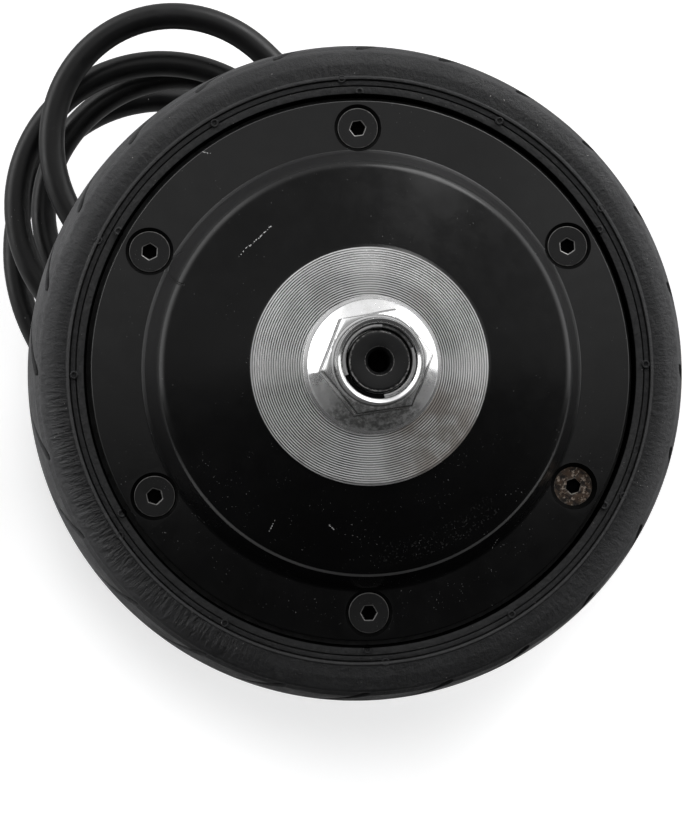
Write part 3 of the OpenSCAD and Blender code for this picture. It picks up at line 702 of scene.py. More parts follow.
# near black without shine: painted shade in the countersinks and the screws' sockets
PIT_SHADE = speckled("pit_shade", 0.0008, 0.002, 0.8, specular_ior_level=0.1)
SHRINK = speckled("shrink_tube", 0.01, 0.018, 0.4, size=3, grain=1.2, depth=0.03)
BLACK_PLASTIC = speckled("black_plastic", (0.016, 0.016, 0.017), (0.026, 0.026, 0.027), 0.45)
WHITE_PLASTIC = speckled("white_plastic", (0.72, 0.72, 0.7), (0.8, 0.8, 0.78), 0.38)
INSULATOR = speckled("insulator", (0.74, 0.7, 0.6), (0.84, 0.8, 0.7), 0.5)
BOARD = speckled("board", (0.02, 0.14, 0.06), (0.03, 0.2, 0.09), 0.35, size=4)
LAMINATED = laminated_steel()
COPPER = wound_copper()
WIRE_COLORS = {
    "yellow": (0.75, 0.5, 0.03), "green": (0.03, 0.3, 0.07), "blue": (0.03, 0.1, 0.5),
    "red": (0.55, 0.03, 0.03), "black": (0.015, 0.015, 0.015),
}
WIRE = {
    name: speckled(name + "_wire", tuple(0.85 * c for c in color), color, 0.4, size=3)
    for name, color in WIRE_COLORS.items()
}


# ---------------------------------------------------------------- tyre

GROOVES = 24
GROOVE_START = -0.5      # degrees
GROOVE_SWEEP = -11.5     # degrees from a cut's inner end to its outer end
GROOVE_L = 14.3
GROOVE_HALF_W = 1.9
GROOVE_DEPTH = 2.1
GROOVE_EDGE = 0.2
SHOULDER_DEG = 19
CREASE = (78.3, 20.6)    # radius and h of the crease between the side face and the tread
NUB_SETS = ((30, 69.7), (57, 71.0), (0.5, 67.8))    # the first nub's clock angle, and the radius
NUBS_IN_SET = 6


def along(outline, distances):
    """Points at these distances along an open outline, and the outward normals there."""
    run = run_along(outline)
    step = 0.2
    ahead = sample(outline, run, np.minimum(distances + step, run[-1]))
    way = ahead - sample(outline, run, np.maximum(distances - step, 0))
    way /= np.linalg.norm(way, axis=1)[:, None]
    return sample(outline, run, distances), np.stack([-way[:, 1], way[:, 0]], -1)


def tyre_side():
    """The side face, from the bottom of the lip's wall to the crease at the shoulder."""
    return rounded([
        (LIP_R, RIM_H), (LIP_R, 21.3, 0.5), (69.08, 21.45, 0.06), (69.25, 20.9, 0.05),
        (69.45, 21.55, 0.08), (70.5, 21.6, 0.08), (70.68, 21.0, 0.05), (70.88, TYRE_H, 0.1),
        (71.4, TYRE_H, 0.14), (71.75, 21.72, 0.25), (74.5, 21.88, 3), (77.7, 21.35, 1),
        (78.15, 20.95, 0.15), CREASE,
    ], closed=False)


def tyre_tread():
    """The shoulder and half the crown, from the crease to the middle."""
    turns = np.radians(np.linspace(SHOULDER_DEG, 0, 60))
    middle_r = TYRE_R - CROWN_R
    crown = [(middle_r + CROWN_R * math.cos(a), CROWN_R * math.sin(a)) for a in turns]
    return np.array([CREASE] + crown)


def groove_shape(s):
    """Half width and depth of a tread cut, from its round inner end at 0 to its point at 1."""
    nose_l = 0.13
    nose = np.sqrt(np.clip(1 - (1 - np.clip(s / nose_l, 0, 1)) ** 2, 0, 1))
    tail = np.clip((1 - s) / (1 - nose_l), 0, 1) ** 0.75
    width = GROOVE_HALF_W * np.minimum(nose, tail)
    depth = GROOVE_DEPTH * np.minimum(nose ** 0.8, np.clip(tail * 1.3, 0, 1))
    return width, depth


def mirrored(half, flip=1):
    """Values along one half, then those of the other half, which come back the same way."""
    return np.concatenate([half, (half * np.array(flip))[-2:0:-1]])


def tyre_part():
    """The tyre with its staggered tread cuts, and how deep each point is sunk, from 0 to 1."""
    profile = tyre_tread()
    cut_steps = np.concatenate([np.linspace(0.0, 0.14, 14), np.linspace(0.17, 1.0, 30)])
    uncut = np.linspace(GROOVE_L, run_along(profile)[-1], 7)[1:]
    distance = np.concatenate([cut_steps * GROOVE_L, uncut])
    tread, normal = along(profile, distance)
    share = np.minimum(distance / GROOVE_L, 1.0)
    width, depth = groove_shape(share)

    # one half, from the bore's middle round to the crown's middle, and its mirror image
    bore_r = SEAT_R + 1.5
    plain = np.array([(bore_r, 0.0), (bore_r, 4), (SEAT_R, 5.5), (SEAT_R, RIM_H)] + tyre_side()[:-1])
    none = np.zeros(len(plain))
    flat_width = 0.45
    rows = mirrored(np.vstack([plain, tread]), [1, -1])
    lean = mirrored(np.vstack([np.zeros_like(plain), normal]), [1, -1])
    width = mirrored(np.maximum(np.concatenate([none, width]), flat_width))
    depth = mirrored(np.concatenate([none, depth]))
    centre = mirrored(np.concatenate([none, GROOVE_SWEEP * share]) + GROOVE_START)

    # the other half's cuts lie half a pitch on: the columns lean across the crown, and back in the bore
    stagger = 180 / GROOVES
    middle = len(plain) + len(tread) - 1
    centre[middle + 1:] += stagger
    ramp, bore_ramp = 6, 4
    for k in range(-ramp, ramp + 1):
        centre[middle + k] = centre[middle - ramp] + (k + ramp) / (2 * ramp) * stagger
    for k in range(-bore_ramp, bore_ramp):
        centre[k] = GROOVE_START + stagger * (0.5 - (k + 0.5) / (2 * bore_ramp))

    # columns: nine across each cut, in half widths from its middle, and some between the cuts
    flank = 0.72
    across = np.array([-1 - GROOVE_EDGE, -1, -flank, -0.35, 0, 0.35, flank, 1, 1 + GROOVE_EDGE])
    cut = np.clip((1 - np.abs(across)) / (1 - flank), 0, 1)
    between = 11
    pitch = 2 * math.pi / GROOVES
    points, sunk = [], []
    for (r, h), (nr, nh), w, d, c in zip(rows, lean, width, depth, np.radians(centre)):
        half_angle = w / r
        inside = c + across * half_angle
        outside = np.linspace(inside[-1], c + pitch + across[0] * half_angle, between + 2)[1:-1]
        angle = (np.concatenate([inside, outside]) + pitch * np.arange(GROOVES)[:, None]).ravel()
        sink = np.tile(np.concatenate([cut * d, np.zeros(between)]), GROOVES)
        rr = r - nr * sink
        points.append(np.stack([rr * np.cos(angle), rr * np.sin(angle), h - nh * sink], -1))
        sunk.append(sink / GROOVE_DEPTH)
    return *grid_part(np.array(points)), np.concatenate(sunk)


def nub_part(clock, radius):
    """A vent nub with a dimple, on the front side face."""
    outline = rounded([
        (1.15, 20.5), (1.05, 21.7, 0.15), (0.9, 22.0, 0.15), (0.6, 22.0, 0.1), (0.45, 21.65, 0.1),
    ], closed=False)
    return at_clock(capped_body(outline, turn(24)), clock, radius)


def make_tyre():
    *part, sunk = tyre_part()
    obj = piece("tyre", part, front, [RUBBER], sharp=40, wear_and_cut_depth=sunk)
    nubs = [nub_part(first + 360 / NUBS_IN_SET * k, r) for first, r in NUB_SETS for k in range(NUBS_IN_SET)]
    for place in SIDES.values():
        combine(obj, nubs, place, "UNION")
    smooth(obj.data, 40)


# ---------------------------------------------------------------- covers and their screws

def tool_rings(r1, h, depth=0.09):
    """The turned face out to r1, with the fine grooves that the lathe tool left."""
    groove = ((0, 0), (0.16, depth), (0.32, depth), (0.55, 0))    # share of the pitch, and how deep
    out = []
    for k in range(int((r1 - TOOL_START_R) / TOOL_PITCH)):
        r = TOOL_START_R + k * TOOL_PITCH
        out += [(r + share * TOOL_PITCH, h - sunk) for share, sunk in groove]
    return out


def cover_outline(drum_h, boss_h, boss_r, seat_h, seat_l):
    """A cover's section: its face from the opening out to its edge, and its inner side back again."""
    corner_r = 4
    wall = 3
    housing_r = POCKET_R + 4
    face = [(OPENING_R, boss_h - 0.3), (OPENING_R + 0.3, boss_h)] + tool_rings(boss_r - 0.35, boss_h)
    outside = rounded([
        (boss_r - 0.1, boss_h - 0.01, 0), (boss_r, boss_h - 0.05, 0), (boss_r + 0.12, boss_h - 0.5, 0.1),
        (boss_r + 0.75, boss_h - 0.75, 0.25), (DRUM_TOP_R, drum_h + 0.18, corner_r),
        (DRUM_FOOT_R - 0.8, PLATE_H + 1.0, 0.4), (DRUM_FOOT_R, PLATE_H, 0.6), (COVER_R, PLATE_H, 0.3),
        (COVER_R, RIM_H, 0),
    ], steps=8, closed=False)
    inside = rounded([
        (SPIGOT_R, RIM_H), (SPIGOT_R, SPIGOT_H), (DRUM_FOOT_R - wall, SPIGOT_H),
        (DRUM_TOP_R - corner_r - 0.6, drum_h - wall, 2), (housing_r, drum_h - wall + 0.6, 1),
        (housing_r, seat_h), (POCKET_R, seat_h), (POCKET_R, seat_h + seat_l),
        (OPENING_R, seat_h + seat_l),
    ], closed=False)
    return face + outside + inside


def sink_part(drum_h):
    """Cutter for one screw's countersink, with a scallop where the drum is in its way."""
    cone_h = PLATE_H - SINK_R + SCREW_HOLE_R
    outline = [
        (SCREW_HOLE_R, RIM_H - 1), (SCREW_HOLE_R, cone_h), (SINK_R, PLATE_H - 0.02),
        (SINK_R + 0.25, PLATE_H + 0.25), (SINK_R + 0.25, drum_h + 2),
    ]
    return capped_body(outline, turn(64))


def to_screw(x, z):
    """Distance of a point on the wheel's face from the nearest screw's centre."""
    step = 2 * math.pi / SCREW_COUNT
    r = math.hypot(x, z)
    off = (math.atan2(x, z) + step / 2) % step - step / 2
    return math.hypot(r * math.cos(off) - SCREW_CIRCLE_R, r * math.sin(off))


def make_cover(side, drum_h, boss_h, boss_r, seat_h, seat_l):
    """One cover: painted, with a turned face on its boss and painted shade in its countersinks."""
    part = ring_body(cover_outline(drum_h, boss_h, boss_r, seat_h, seat_l), turn(240))
    obj = piece(side + "_cover", part, SIDES[side], [PAINT, TURNED, PIT_SHADE], sharp=30)
    sinks = [at_clock(sink_part(drum_h), clock, SCREW_CIRCLE_R) for clock in SCREW_CLOCKS]
    combine(obj, sinks, SIDES[side], "DIFFERENCE")
    for face in obj.data.polygons:
        x, y, z = face.center / MM
        r, h = math.hypot(x, z), abs(y)
        if r < boss_r + 0.05 and h > boss_h - 0.6:
            face.material_index = 1
        elif RIM_H < h < PLATE_H - 0.1 and to_screw(x, z) < SINK_R:
            face.material_index = 2
        else:
            face.material_index = 0
    smooth(obj.data, 30)


def hexagon(across, angles, turn_deg=0.0):
    """Radius of a hexagon with this width across its flats, at each angle."""
    off = (angles - math.radians(turn_deg)) % (math.pi / 3) - math.pi / 6
    return across / 2 / np.cos(off)


def screw_part(turn_deg, sunk):
    """A countersunk cover screw with a hex socket, and how worn it is at each point."""
    angles = turn(72)
    hexa = hexagon(SOCKET_AF, angles, turn_deg)
    head, top = SCREW_HEAD_R, SCREW_TOP_H - sunk
    # radius, height above the head's top, and wear
    rows = [
        (SCREW_R - 0.5, SCREW_END_H - top, 0), (SCREW_R, SCREW_END_H + 0.5 - top, 0),
        (SCREW_R, SCREW_R - head - 0.25, 0), (head - 0.05, -0.3, 0), (head, -0.22, 0.3),
        (head, -0.12, 0.8), (head - 0.05, -0.04, 1), (head - 0.14, 0, 0.85), (head - 0.32, 0, 0.1),
        (3.4, -0.02, 0), (hexa + 0.42, -0.02, 0.1), (hexa + 0.3, -0.03, 0.85), (hexa + 0.1, -0.12, 1),
        (hexa, -0.3, 0.6), (hexa, -1.5, 0), (hexa - 0.12, -1.9, 0), (0.9, -2.15, 0),
    ]
    points, faces = capped_body([(r, top + h) for r, h, _ in rows], angles)
    wear_and_cut_depth = np.repeat([worn for _, _, worn in rows], len(angles))
    return points, faces, np.append(wear_and_cut_depth, [0, 0])


def shade_sockets(obj, top):
    """Gives the walls of the screws' sockets the object's second material, which is painted shade."""
    for face in obj.data.polygons:
        x, y, z = face.center / MM
        if to_screw(x, z) < SOCKET_AF * 0.6 and top - 2.3 < abs(y) < top - 0.2:
            face.material_index = 1


def make_screws(side):
    """The screws of one cover. One screw at the front is rusted and sits a little deeper."""
    node, place = side + "_cover_screws", SIDES[side]
    rusty = 4 if side == "front" else None
    rusty_sunk = 0.5
    first_turn, turn_step = 8, 17
    parts, weights = [], []
    for k, clock in enumerate(SCREW_CLOCKS):
        *part, wear_and_cut_depth = screw_part(first_turn + turn_step * k, rusty_sunk if k == rusty else 0)
        part = at_clock(part, clock, SCREW_CIRCLE_R)
        if k == rusty:
            looks = [RUST, PIT_SHADE]
            obj = piece("front_cover_screw_rusted", part, place, looks, node, sharp=35, wear_and_cut_depth=wear_and_cut_depth)
            shade_sockets(obj, SCREW_TOP_H - rusty_sunk)
        else:
            parts.append(part)
            weights.append(wear_and_cut_depth)
    wear_and_cut_depth = np.concatenate(weights)
    obj = piece(node, joined(parts), place, [BLACK_STEEL, PIT_SHADE], sharp=35, wear_and_cut_depth=wear_and_cut_depth)
    shade_sockets(obj, SCREW_TOP_H)


# ---------------------------------------------------------------- axle, nuts and washers

# heights above the nut's base, and the radius of the recess in its collar
NUT_FLANGE_T = 1.6
NUT_CONE_TOP = 4.6
NUT_HEX_TOP = 12.5
NUT_RECESS_H = 13.3
NUT_TOP = 17.5
NUT_RECESS_R = {"front": 8.4, "rear": 9.4}


def nut_part(side):
    """Flange nut with a round collar: the flanks' tops are cut back by a 30 degree chamfer."""
    flange_r, collar_r = {"front": (15.3, 9.65), "rear": (16.6, 10.7)}[side]
    recess_r, inner_r = NUT_RECESS_R[side], THREAD_R[side] + 0.05
    across, turned = NUT_AF[side], HEX_TURN[side]
    angles = turn(240) + math.radians(turned)
    hexa = hexagon(across, angles, turned)
    chamfer_r = across / 2 - 0.35
    flank_top = NUT_HEX_TOP - (hexa - chamfer_r) * math.tan(math.radians(30))
    slope = (NUT_CONE_TOP - NUT_FLANGE_T) / (flange_r - across / 2)
    flank_foot = NUT_FLANGE_T + 0.25 + (flange_r - hexa) * slope
    rows = [
        (inner_r, 0), (flange_r - 0.5, 0), (flange_r - 0.12, 0.1), (flange_r, 0.4),
        (flange_r, NUT_FLANGE_T - 0.35), (flange_r - 0.1, NUT_FLANGE_T - 0.05),
        (flange_r - 0.35, NUT_FLANGE_T + 0.2), (hexa + 0.5, flank_foot - 0.5 * slope + 0.02),
        (hexa + 0.16, flank_foot), (hexa, flank_foot + 0.35), (hexa, flank_top - 0.25),
        (hexa - 0.07, flank_top - 0.06), (hexa - 0.3, flank_top + 0.13),
        (chamfer_r + 0.05, NUT_HEX_TOP - 0.03), (chamfer_r - 0.15, NUT_HEX_TOP),
        (collar_r + 0.45, NUT_HEX_TOP), (collar_r + 0.12, NUT_HEX_TOP + 0.12),
        (collar_r, NUT_HEX_TOP + 0.45), (collar_r, NUT_TOP - 0.9),
        (collar_r - 0.06, NUT_TOP - 0.25), (collar_r - 0.2, NUT_TOP - 0.05), (collar_r - 0.35, NUT_TOP),
        (collar_r - 0.48, NUT_TOP - 0.06), (recess_r + 0.12, NUT_TOP - 0.55), (recess_r, NUT_TOP - 0.75),
        (recess_r, NUT_RECESS_H), (inner_r, NUT_RECESS_H),
    ]
    return ring_body([(r, NUT_H[side] + h) for r, h in rows], angles)


def washer_part(inner, outer, h0, h1, edge=0.3, sides=128):
    """A flat ring between two heights, with rounded edges."""
    return ring_body(rounded([(inner, h0), (outer, h0), (outer, h1), (inner, h1)], edge), turn(sides))


def lock_ring_part(side):
    """Spring ring in the nut's collar, with two raised jaws."""
    inner, outer = THREAD_R[side] + 0.15, NUT_RECESS_R[side] - 0.02
    base = NUT_H[side] + NUT_RECESS_H
    jaw_top = base + 2.7
    flat = washer_part(inner, outer, base, base + 1, 0.15, 96)
    jaw = rounded([(inner + 0.05, base + 0.5), (outer - 0.05, base + 0.5), (outer - 0.05, jaw_top),
                   (inner + 0.35, jaw_top), (inner + 0.05, jaw_top - 0.5)], 0.25)
    return joined([flat, arc_body(jaw, 84, 202), arc_body(jaw, -83, 21)])


def torque_washer_part():
    """The rear washer whose tab keeps the axle from turning, drawn with h to the rear."""
    h0, h1 = WASHER_H["rear"], WASHER_H["rear"] + WASHER_T
    half_w, tip = 4.0, WASHER_R + 4
    tab = math.asin(half_w / WASHER_R)
    sweep = np.linspace(math.pi / 2 + tab, math.pi / 2 - tab + 2 * math.pi, 120)
    outer = [(WASHER_R * math.cos(a), WASHER_R * math.sin(a)) for a in sweep]
    tab_end = rounded([outer[-1], (half_w, tip, 1.2), (-half_w, tip, 1.2), outer[0]], 0, 6, closed=False)
    outer += tab_end[1:-1]
    flat = FLATS_W / 2 + 0.05
    hole_r = THREAD_R["rear"] + 0.05
    inner = []
    for x, y in outer:
        a = math.atan2(y, x)
        inner.append((max(-flat, min(flat, hole_r * math.cos(a))), hole_r * math.sin(a)))
    edge = 0.25
    rows = []
    for loop, grow, h in (
            (inner, 0, h0), (outer, -edge, h0), (outer, 0, h0 + edge),
            (outer, 0, h1 - edge), (outer, -edge, h1), (inner, 0, h1)):
        p = np.array(loop)
        size = np.linalg.norm(p, axis=1)[:, None]
        rows.append(np.hstack([p * (size + grow) / size, np.full((len(p), 1), h)]))
    return grid_part(np.array(rows))


def make_axle():
    """The axle, with its two flats and cable bore at the rear and a screw hole in the front tip."""
    thread, rear_thread = THREAD_R["front"], THREAD_R["rear"]
    stack, rear_stack = STACK_H["front"], -STACK_H["rear"]
    seat, seat_h = 7.5, stack - 11
    rear_seat, rear_seat_h = 8.5, rear_stack + 10
    shoulder = 10
    tip, end = FRONT_TIP_H, -REAR_TIP_H
    chamfer = 0.62
    mouth = TIP_HOLE_R + chamfer
    # radius, height and wear
    outline = [
        (CABLE_BORE_R, end + 0.3, 0), (CABLE_BORE_R + 0.3, end, 0), (rear_thread - 0.8, end, 0),
        (rear_thread, end + 0.8, 0), (rear_thread, -FLATS_H - FLATS_EDGE, 0), (rear_thread, -FLATS_H, 0),
        (rear_thread, rear_stack, 0), (rear_seat, rear_stack, 0), (rear_seat, rear_seat_h, 0),
        (shoulder, rear_seat_h, 0), (shoulder, seat_h, 0), (seat, seat_h, 0), (seat, stack, 0),
        (thread, stack, 0), (thread, tip - 0.9, 0.1), (thread - 0.1, tip - 0.55, 0.4),
        (thread - 0.35, tip - 0.2, 0.7), (thread - 0.75, tip, 0.4), (thread - 1, tip, 0),
        (mouth + 0.35, tip, 0.15), (mouth + 0.1, tip - 0.08, 0.75), (mouth, tip - 0.3, 0.5),
        (TIP_HOLE_R, tip - 0.3 - chamfer / math.tan(math.radians(30)), 0),
        (TIP_HOLE_R, tip - 14, 0), (0.05, tip - 15.5, 0), (0.05, -13, 0), (CABLE_BORE_R, -14.5, 0),
    ]
    angles = turn(96)
    points, faces = ring_body([row[:2] for row in outline], angles)
    flat_end = points[:, 2] < -FLATS_H - FLATS_EDGE / 2
    points[flat_end, 0] = np.clip(points[flat_end, 0], -FLATS_W / 2, FLATS_W / 2)
    wear_and_cut_depth = np.repeat([row[2] for row in outline], len(angles))
    piece("axle", (points, faces), front, [BLACK_STEEL], sharp=30, wear_and_cut_depth=wear_and_cut_depth)


def make_stack():
    """Nuts, washers and spacers on the axle."""
    for side, place in SIDES.items():
        washer = washer_part(THREAD_R[side] + 0.5, WASHER_R, NUT_H[side] - WASHER_T, NUT_H[side])
        spacer = washer_part(THREAD_R[side] + 0.05, SPACER_R, STACK_H[side], WASHER_H[side])
        for name, part, material in (
                ("nut", nut_part(side), NUT_ZINC[side]), ("washer", washer, ZINC),
                ("nut_lock_ring", lock_ring_part(side), SPRING_STEEL), ("spacer", spacer, BARE_STEEL)):
            piece(f"{side}_{name}", part, place, [material], sharp=30)
    piece("rear_torque_washer", torque_washer_part(), rear, [ZINC], sharp=30)


# ---------------------------------------------------------------- cable

CABLE_START_H = -46
TURN_PITCH = 9
FRONT_TURN_DEPTH = 34.5
FIRST_TURN_DEPTH = 67
# the coil's turns, rearmost first: circles stretched a little along one direction, as
# (centre x, centre y, radius, stretch, angle of the stretch, depth)
TURNS = [
    (-45.3, 35.1, 47.8, -0.05, 29, FIRST_TURN_DEPTH),
    (-46.2, 51.9, 35.9, 0.04, 40, FRONT_TURN_DEPTH + 2 * TURN_PITCH),
    (-47.9, 49.0, 40.8, 0.01, -28, FRONT_TURN_DEPTH + TURN_PITCH),
    (-43.8, 64.2, 35.5, -0.03, 16, FRONT_TURN_DEPTH),
]
# a turn keeps to its own circle between the first two of these angles, and the cable leaves at the third
HOLD_FROM, HOLD_TO, LEAVE_AT = 230, 45, 48
LAY_END = LEAVE_AT - 360 * (len(TURNS) - 1)
BEND_H = -REAR_TIP_H - 5
BEND_PULL = (40, 30)     # how long the bend keeps to its start's and its end's direction
TAIL_L = 32


def coil_point(angle):
    """Point of the coil at this angle, which falls from the rear turn to the front one."""
    def spot(n):
        x, y, radius, stretch, stretch_at, depth = TURNS[min(n, len(TURNS) - 1)]
        a = math.radians(angle)
        r = radius * (1 + stretch * math.cos(2 * (a - math.radians(stretch_at))))
        return np.array([x + r * math.cos(a), y + r * math.sin(a), -depth])

    u = (HOLD_FROM - angle) / 360
    n = math.floor(u)
    held = (HOLD_FROM - HOLD_TO) / 360
    s = max(0.0, (u - n - held) / (1 - held))
    s = s * s * (3 - 2 * s)
    return spot(n) * (1 - s) + spot(n + 1) * s


def heading(angle):
    """Direction in which the cable is being laid at this angle."""
    ahead = coil_point(angle - 1) - coil_point(angle)
    return ahead / np.linalg.norm(ahead)


def bezier(p, count):
    """Points of the cubic curve through p[0] and p[3] with the handles p[1] and p[2]."""
    t = np.linspace(0, 1, count)[:, None]
    return p[0] * (1 - t) ** 3 + 3 * p[1] * t * (1 - t) ** 2 + 3 * p[2] * t * t * (1 - t) + p[3] * t ** 3


def cable_path():
    """The cable's middle line: out of the axle, round a bend, through the coil and to its free end."""
    start = coil_point(HOLD_FROM)
    bend = bezier([np.array([0, 0, BEND_H]), np.array([0, 0, BEND_H - BEND_PULL[0]]),
                   start - BEND_PULL[1] * heading(HOLD_FROM), start], 40)
    coil = np.array([coil_point(a) for a in np.linspace(HOLD_FROM, LAY_END, 420)])
    return np.vstack([[[0, 0, CABLE_START_H], [0, 0, BEND_H + 8]], bend, coil[1:], [TAIL_POINT]])


TAIL_WAY = heading(LAY_END)
TAIL_POINT = coil_point(LAY_END) + TAIL_L * TAIL_WAY


def evenly(path, step):
    """The path's points again, spaced evenly."""
    run = run_along(path)
    return sample(path, run, np.linspace(0, run[-1], round(run[-1] / step)))


def swept(path, radius, sides=20):
    """A closed tube along a path, without twist. radius may be one value for each point."""
    tangent = np.gradient(path, axis=0)
    tangent /= np.linalg.norm(tangent, axis=1)[:, None]
    side = np.array([1.0, 0, 0]) if abs(tangent[0, 0]) < 0.9 else np.array([0, 1.0, 0])
    ring = turn(sides)
    rows = []
    for point, t, r in zip(path, tangent, np.broadcast_to(radius, len(path))):
        side = side - (side @ t) * t
        side /= np.linalg.norm(side)
        other = np.cross(t, side)
        rows.append(point + r * (np.outer(np.cos(ring), side) + np.outer(np.sin(ring), other)))
    return grid_part(np.array(rows), wrap_rows=False)


def behind(points):
    """Points drawn along the cable's free end, with z along it and x to the rear, as (x, y, h)."""
    p = np.asarray(points, float)
    x = p[..., 2] * TAIL_WAY[0] - p[..., 1] * TAIL_WAY[1]
    y = p[..., 2] * TAIL_WAY[1] + p[..., 1] * TAIL_WAY[0]
    return np.stack([x, y, -p[..., 0]], -1) + TAIL_POINT


def at_tail(points):
    """Places points drawn along the cable's free end in the frame."""
    return front(behind(points))


# the boot, and the leads that leave it: their radius, length, distance apart, fan angle and tilt
BOOT_L = 7
WIRE_GAP = 0.25
WIRE_L = 38
PHASE_R = 1.1
PHASE_GAP = 2.3
PHASE_SPREAD = 5
HALL_R = 0.4
HALL_L = 34
HALL_GAP = 0.9
HALL_SPREAD = 1
HALL_TILT = 6
HALL_SHIFT = 2.2
LEAD_START = (0, 0, -1.5)


def leaning(u, v, degrees):
    """Two coordinates after a turn by this angle from v towards u."""
    a = math.radians(degrees)
    return u * math.cos(a) + v * math.sin(a), v * math.cos(a) - u * math.sin(a)


def fanned(points, n, gap, angle):
    """Points drawn along z, as lead n of a row that fans out."""
    x, y, z = points.T
    y, z = leaning(y, z, n * angle)
    return np.stack([x, y + n * gap, z + BOOT_L + WIRE_GAP], -1)


def tilted(points):
    """Points of the sensor leads, which leave the boot towards the rear."""
    x, y, z = points.T
    x, z = leaning(x, z, HALL_TILT)
    return np.stack([x + HALL_SHIFT, y, z], -1)


def wavy(length, size, phase, count=24):
    """A lead that leaves and arrives straight and wanders between."""
    z = np.linspace(0, length, count)
    swell = np.sin(np.pi * z / length) ** 2 * size
    return np.stack([swell * np.cos(phase + z / 9), swell * np.sin(phase + z / 9), z], -1)


def make_cable():
    """The cable, its gland in the axle's end and the shrink boot on its free end."""
    path = evenly(cable_path(), 2)
    along_it = np.arange(len(path))
    radius = CABLE_R * (1 + 0.008 * np.sin(along_it * 0.31) * np.sin(along_it * 0.083))
    piece("cable_sheath", swept(path, radius), front, [CABLE], sharp=60)
    end, bore = -REAR_TIP_H, CABLE_BORE_R - 0.05
    cap_r = THREAD_R["rear"] - 2
    gland = rounded([
        (CABLE_R + 0.05, end + 8), (bore, end + 8), (bore, end), (cap_r, end - 0.02),
        (cap_r, end - 1.6, 0.4), (CABLE_R + 1.2, end - 2.4, 0.4), (CABLE_R + 0.8, BEND_H - 1, 0.3),
        (CABLE_R + 0.05, BEND_H - 1),
    ], 0.1)
    piece("cable_gland", ring_body(gland, turn(64)), front, [SOFT_BLACK])
    ripple = [(CABLE_R + 0.62 + 0.06 * math.sin(k * 1.7), -11.5 + k * 0.9) for k in range(15)]
    boot = ring_body([
        (0.01, 0.02), (CABLE_R + 0.05, 0.02), (CABLE_R + 0.05, -12), (CABLE_R + 0.5, -12), *ripple,
        (CABLE_R + 0.6, 2.2), (CABLE_R - 0.2, BOOT_L - 0.6), (CABLE_R - 0.9, BOOT_L), (0.01, BOOT_L),
    ], turn(48))
    piece("cable_boot", boot, at_tail, [SHRINK], sharp=50)


def make_leads():
    """The three phase leads with their bullet plugs, and the sensor leads."""
    def make_wire(kind, color, path, radius, sides):
        part = swept(evenly(path, 1), radius, sides)
        piece(f"{kind}_wire_{color}", part, at_tail, [WIRE[color]], kind + "_wires", sharp=60)

    for k, color in enumerate(["yellow", "green", "blue"]):
        lead = np.vstack([LEAD_START, wavy(WIRE_L, 0.9, 2.1 * k)])
        make_wire("phase", color, fanned(lead, k - 1, PHASE_GAP, PHASE_SPREAD), PHASE_R, 14)
        plug = rounded([
            (0.01, WIRE_L - 6), (PHASE_R + 0.9, WIRE_L - 6, 0.3), (2.85, WIRE_L - 3, 0.6),
            (2.9, WIRE_L + 3, 0), (2.9, WIRE_L + 14, 0.5), (2.2, WIRE_L + 14.8, 0.2),
            (2.2, WIRE_L + 18, 0.4), (1.6, WIRE_L + 18, 0.1), (1.6, WIRE_L + 12, 0.1), (0.01, WIRE_L + 12),
        ], 0.1)
        points, faces = ring_body(plug, turn(32))
        part = fanned(points, k - 1, PHASE_GAP, PHASE_SPREAD), faces
        piece("phase_plug_" + color, part, at_tail, [SHRINK], "phase_plugs", sharp=40)
    for k, color in enumerate(["red", "yellow", "green", "blue", "black"]):
        lead = np.vstack([LEAD_START, wavy(HALL_L, 0.7, 1.3 * k)])
        make_wire("hall", color, tilted(fanned(lead, k - 2, HALL_GAP, HALL_SPREAD)), HALL_R, 10)


def make_hall_plug():
    """The sensor connector: a moulded shell with a stepped nose and five pin holes."""
    start = BOOT_L + WIRE_GAP + HALL_L + 0.05
    off, half_x, half_y = 1.5, 3, 6
    pin_pitch = 2.1
    outline = [(-half_x, -half_y), (half_x, -half_y), (half_x, half_y), (-half_x, half_y)]
    loops = []
    for grow, z in ((-0.4, 0), (0, 0.4), (0, 9.4), (-0.15, 9.6), (-0.35, 9.7), (-0.35, 14.6), (-0.7, 15)):
        fit_x, fit_y = 1 + grow / half_x, 1 + grow / half_y
        loop = rounded([(x * fit_x, y * fit_y, 0.6) for x, y in outline], steps=4)
        loops.append([(x + off, y, start + z) for x, y in loop])
    points, faces = grid_part(np.array(loops), wrap_rows=False)
    obj = piece("hall_plug", (tilted(points), faces), at_tail, [WHITE_PLASTIC], sharp=40)
    hole = capped_body([(0.7, start + 9), (0.7, start + 14.7), (1.0, start + 15.2)], turn(16))
    holes = [shifted(hole, (off, k * pin_pitch, 0)) for k in range(-2, 3)]
    combine(obj, [(tilted(points), faces) for points, faces in holes], at_tail, "DIFFERENCE")
    smooth(obj.data, 40)


# ---------------------------------------------------------------- the pieces

def make_pieces():
    make_tyre()
    make_cover("front", drum_h=31.5, boss_h=38, boss_r=28, seat_h=24, seat_l=11)
    make_cover("rear", drum_h=29, boss_h=35, boss_r=24, seat_h=22, seat_l=10)
    make_screws("front")
    make_screws("rear")
    make_axle()
    make_stack()
    make_cable()
    make_leads()
    make_hall_plug()


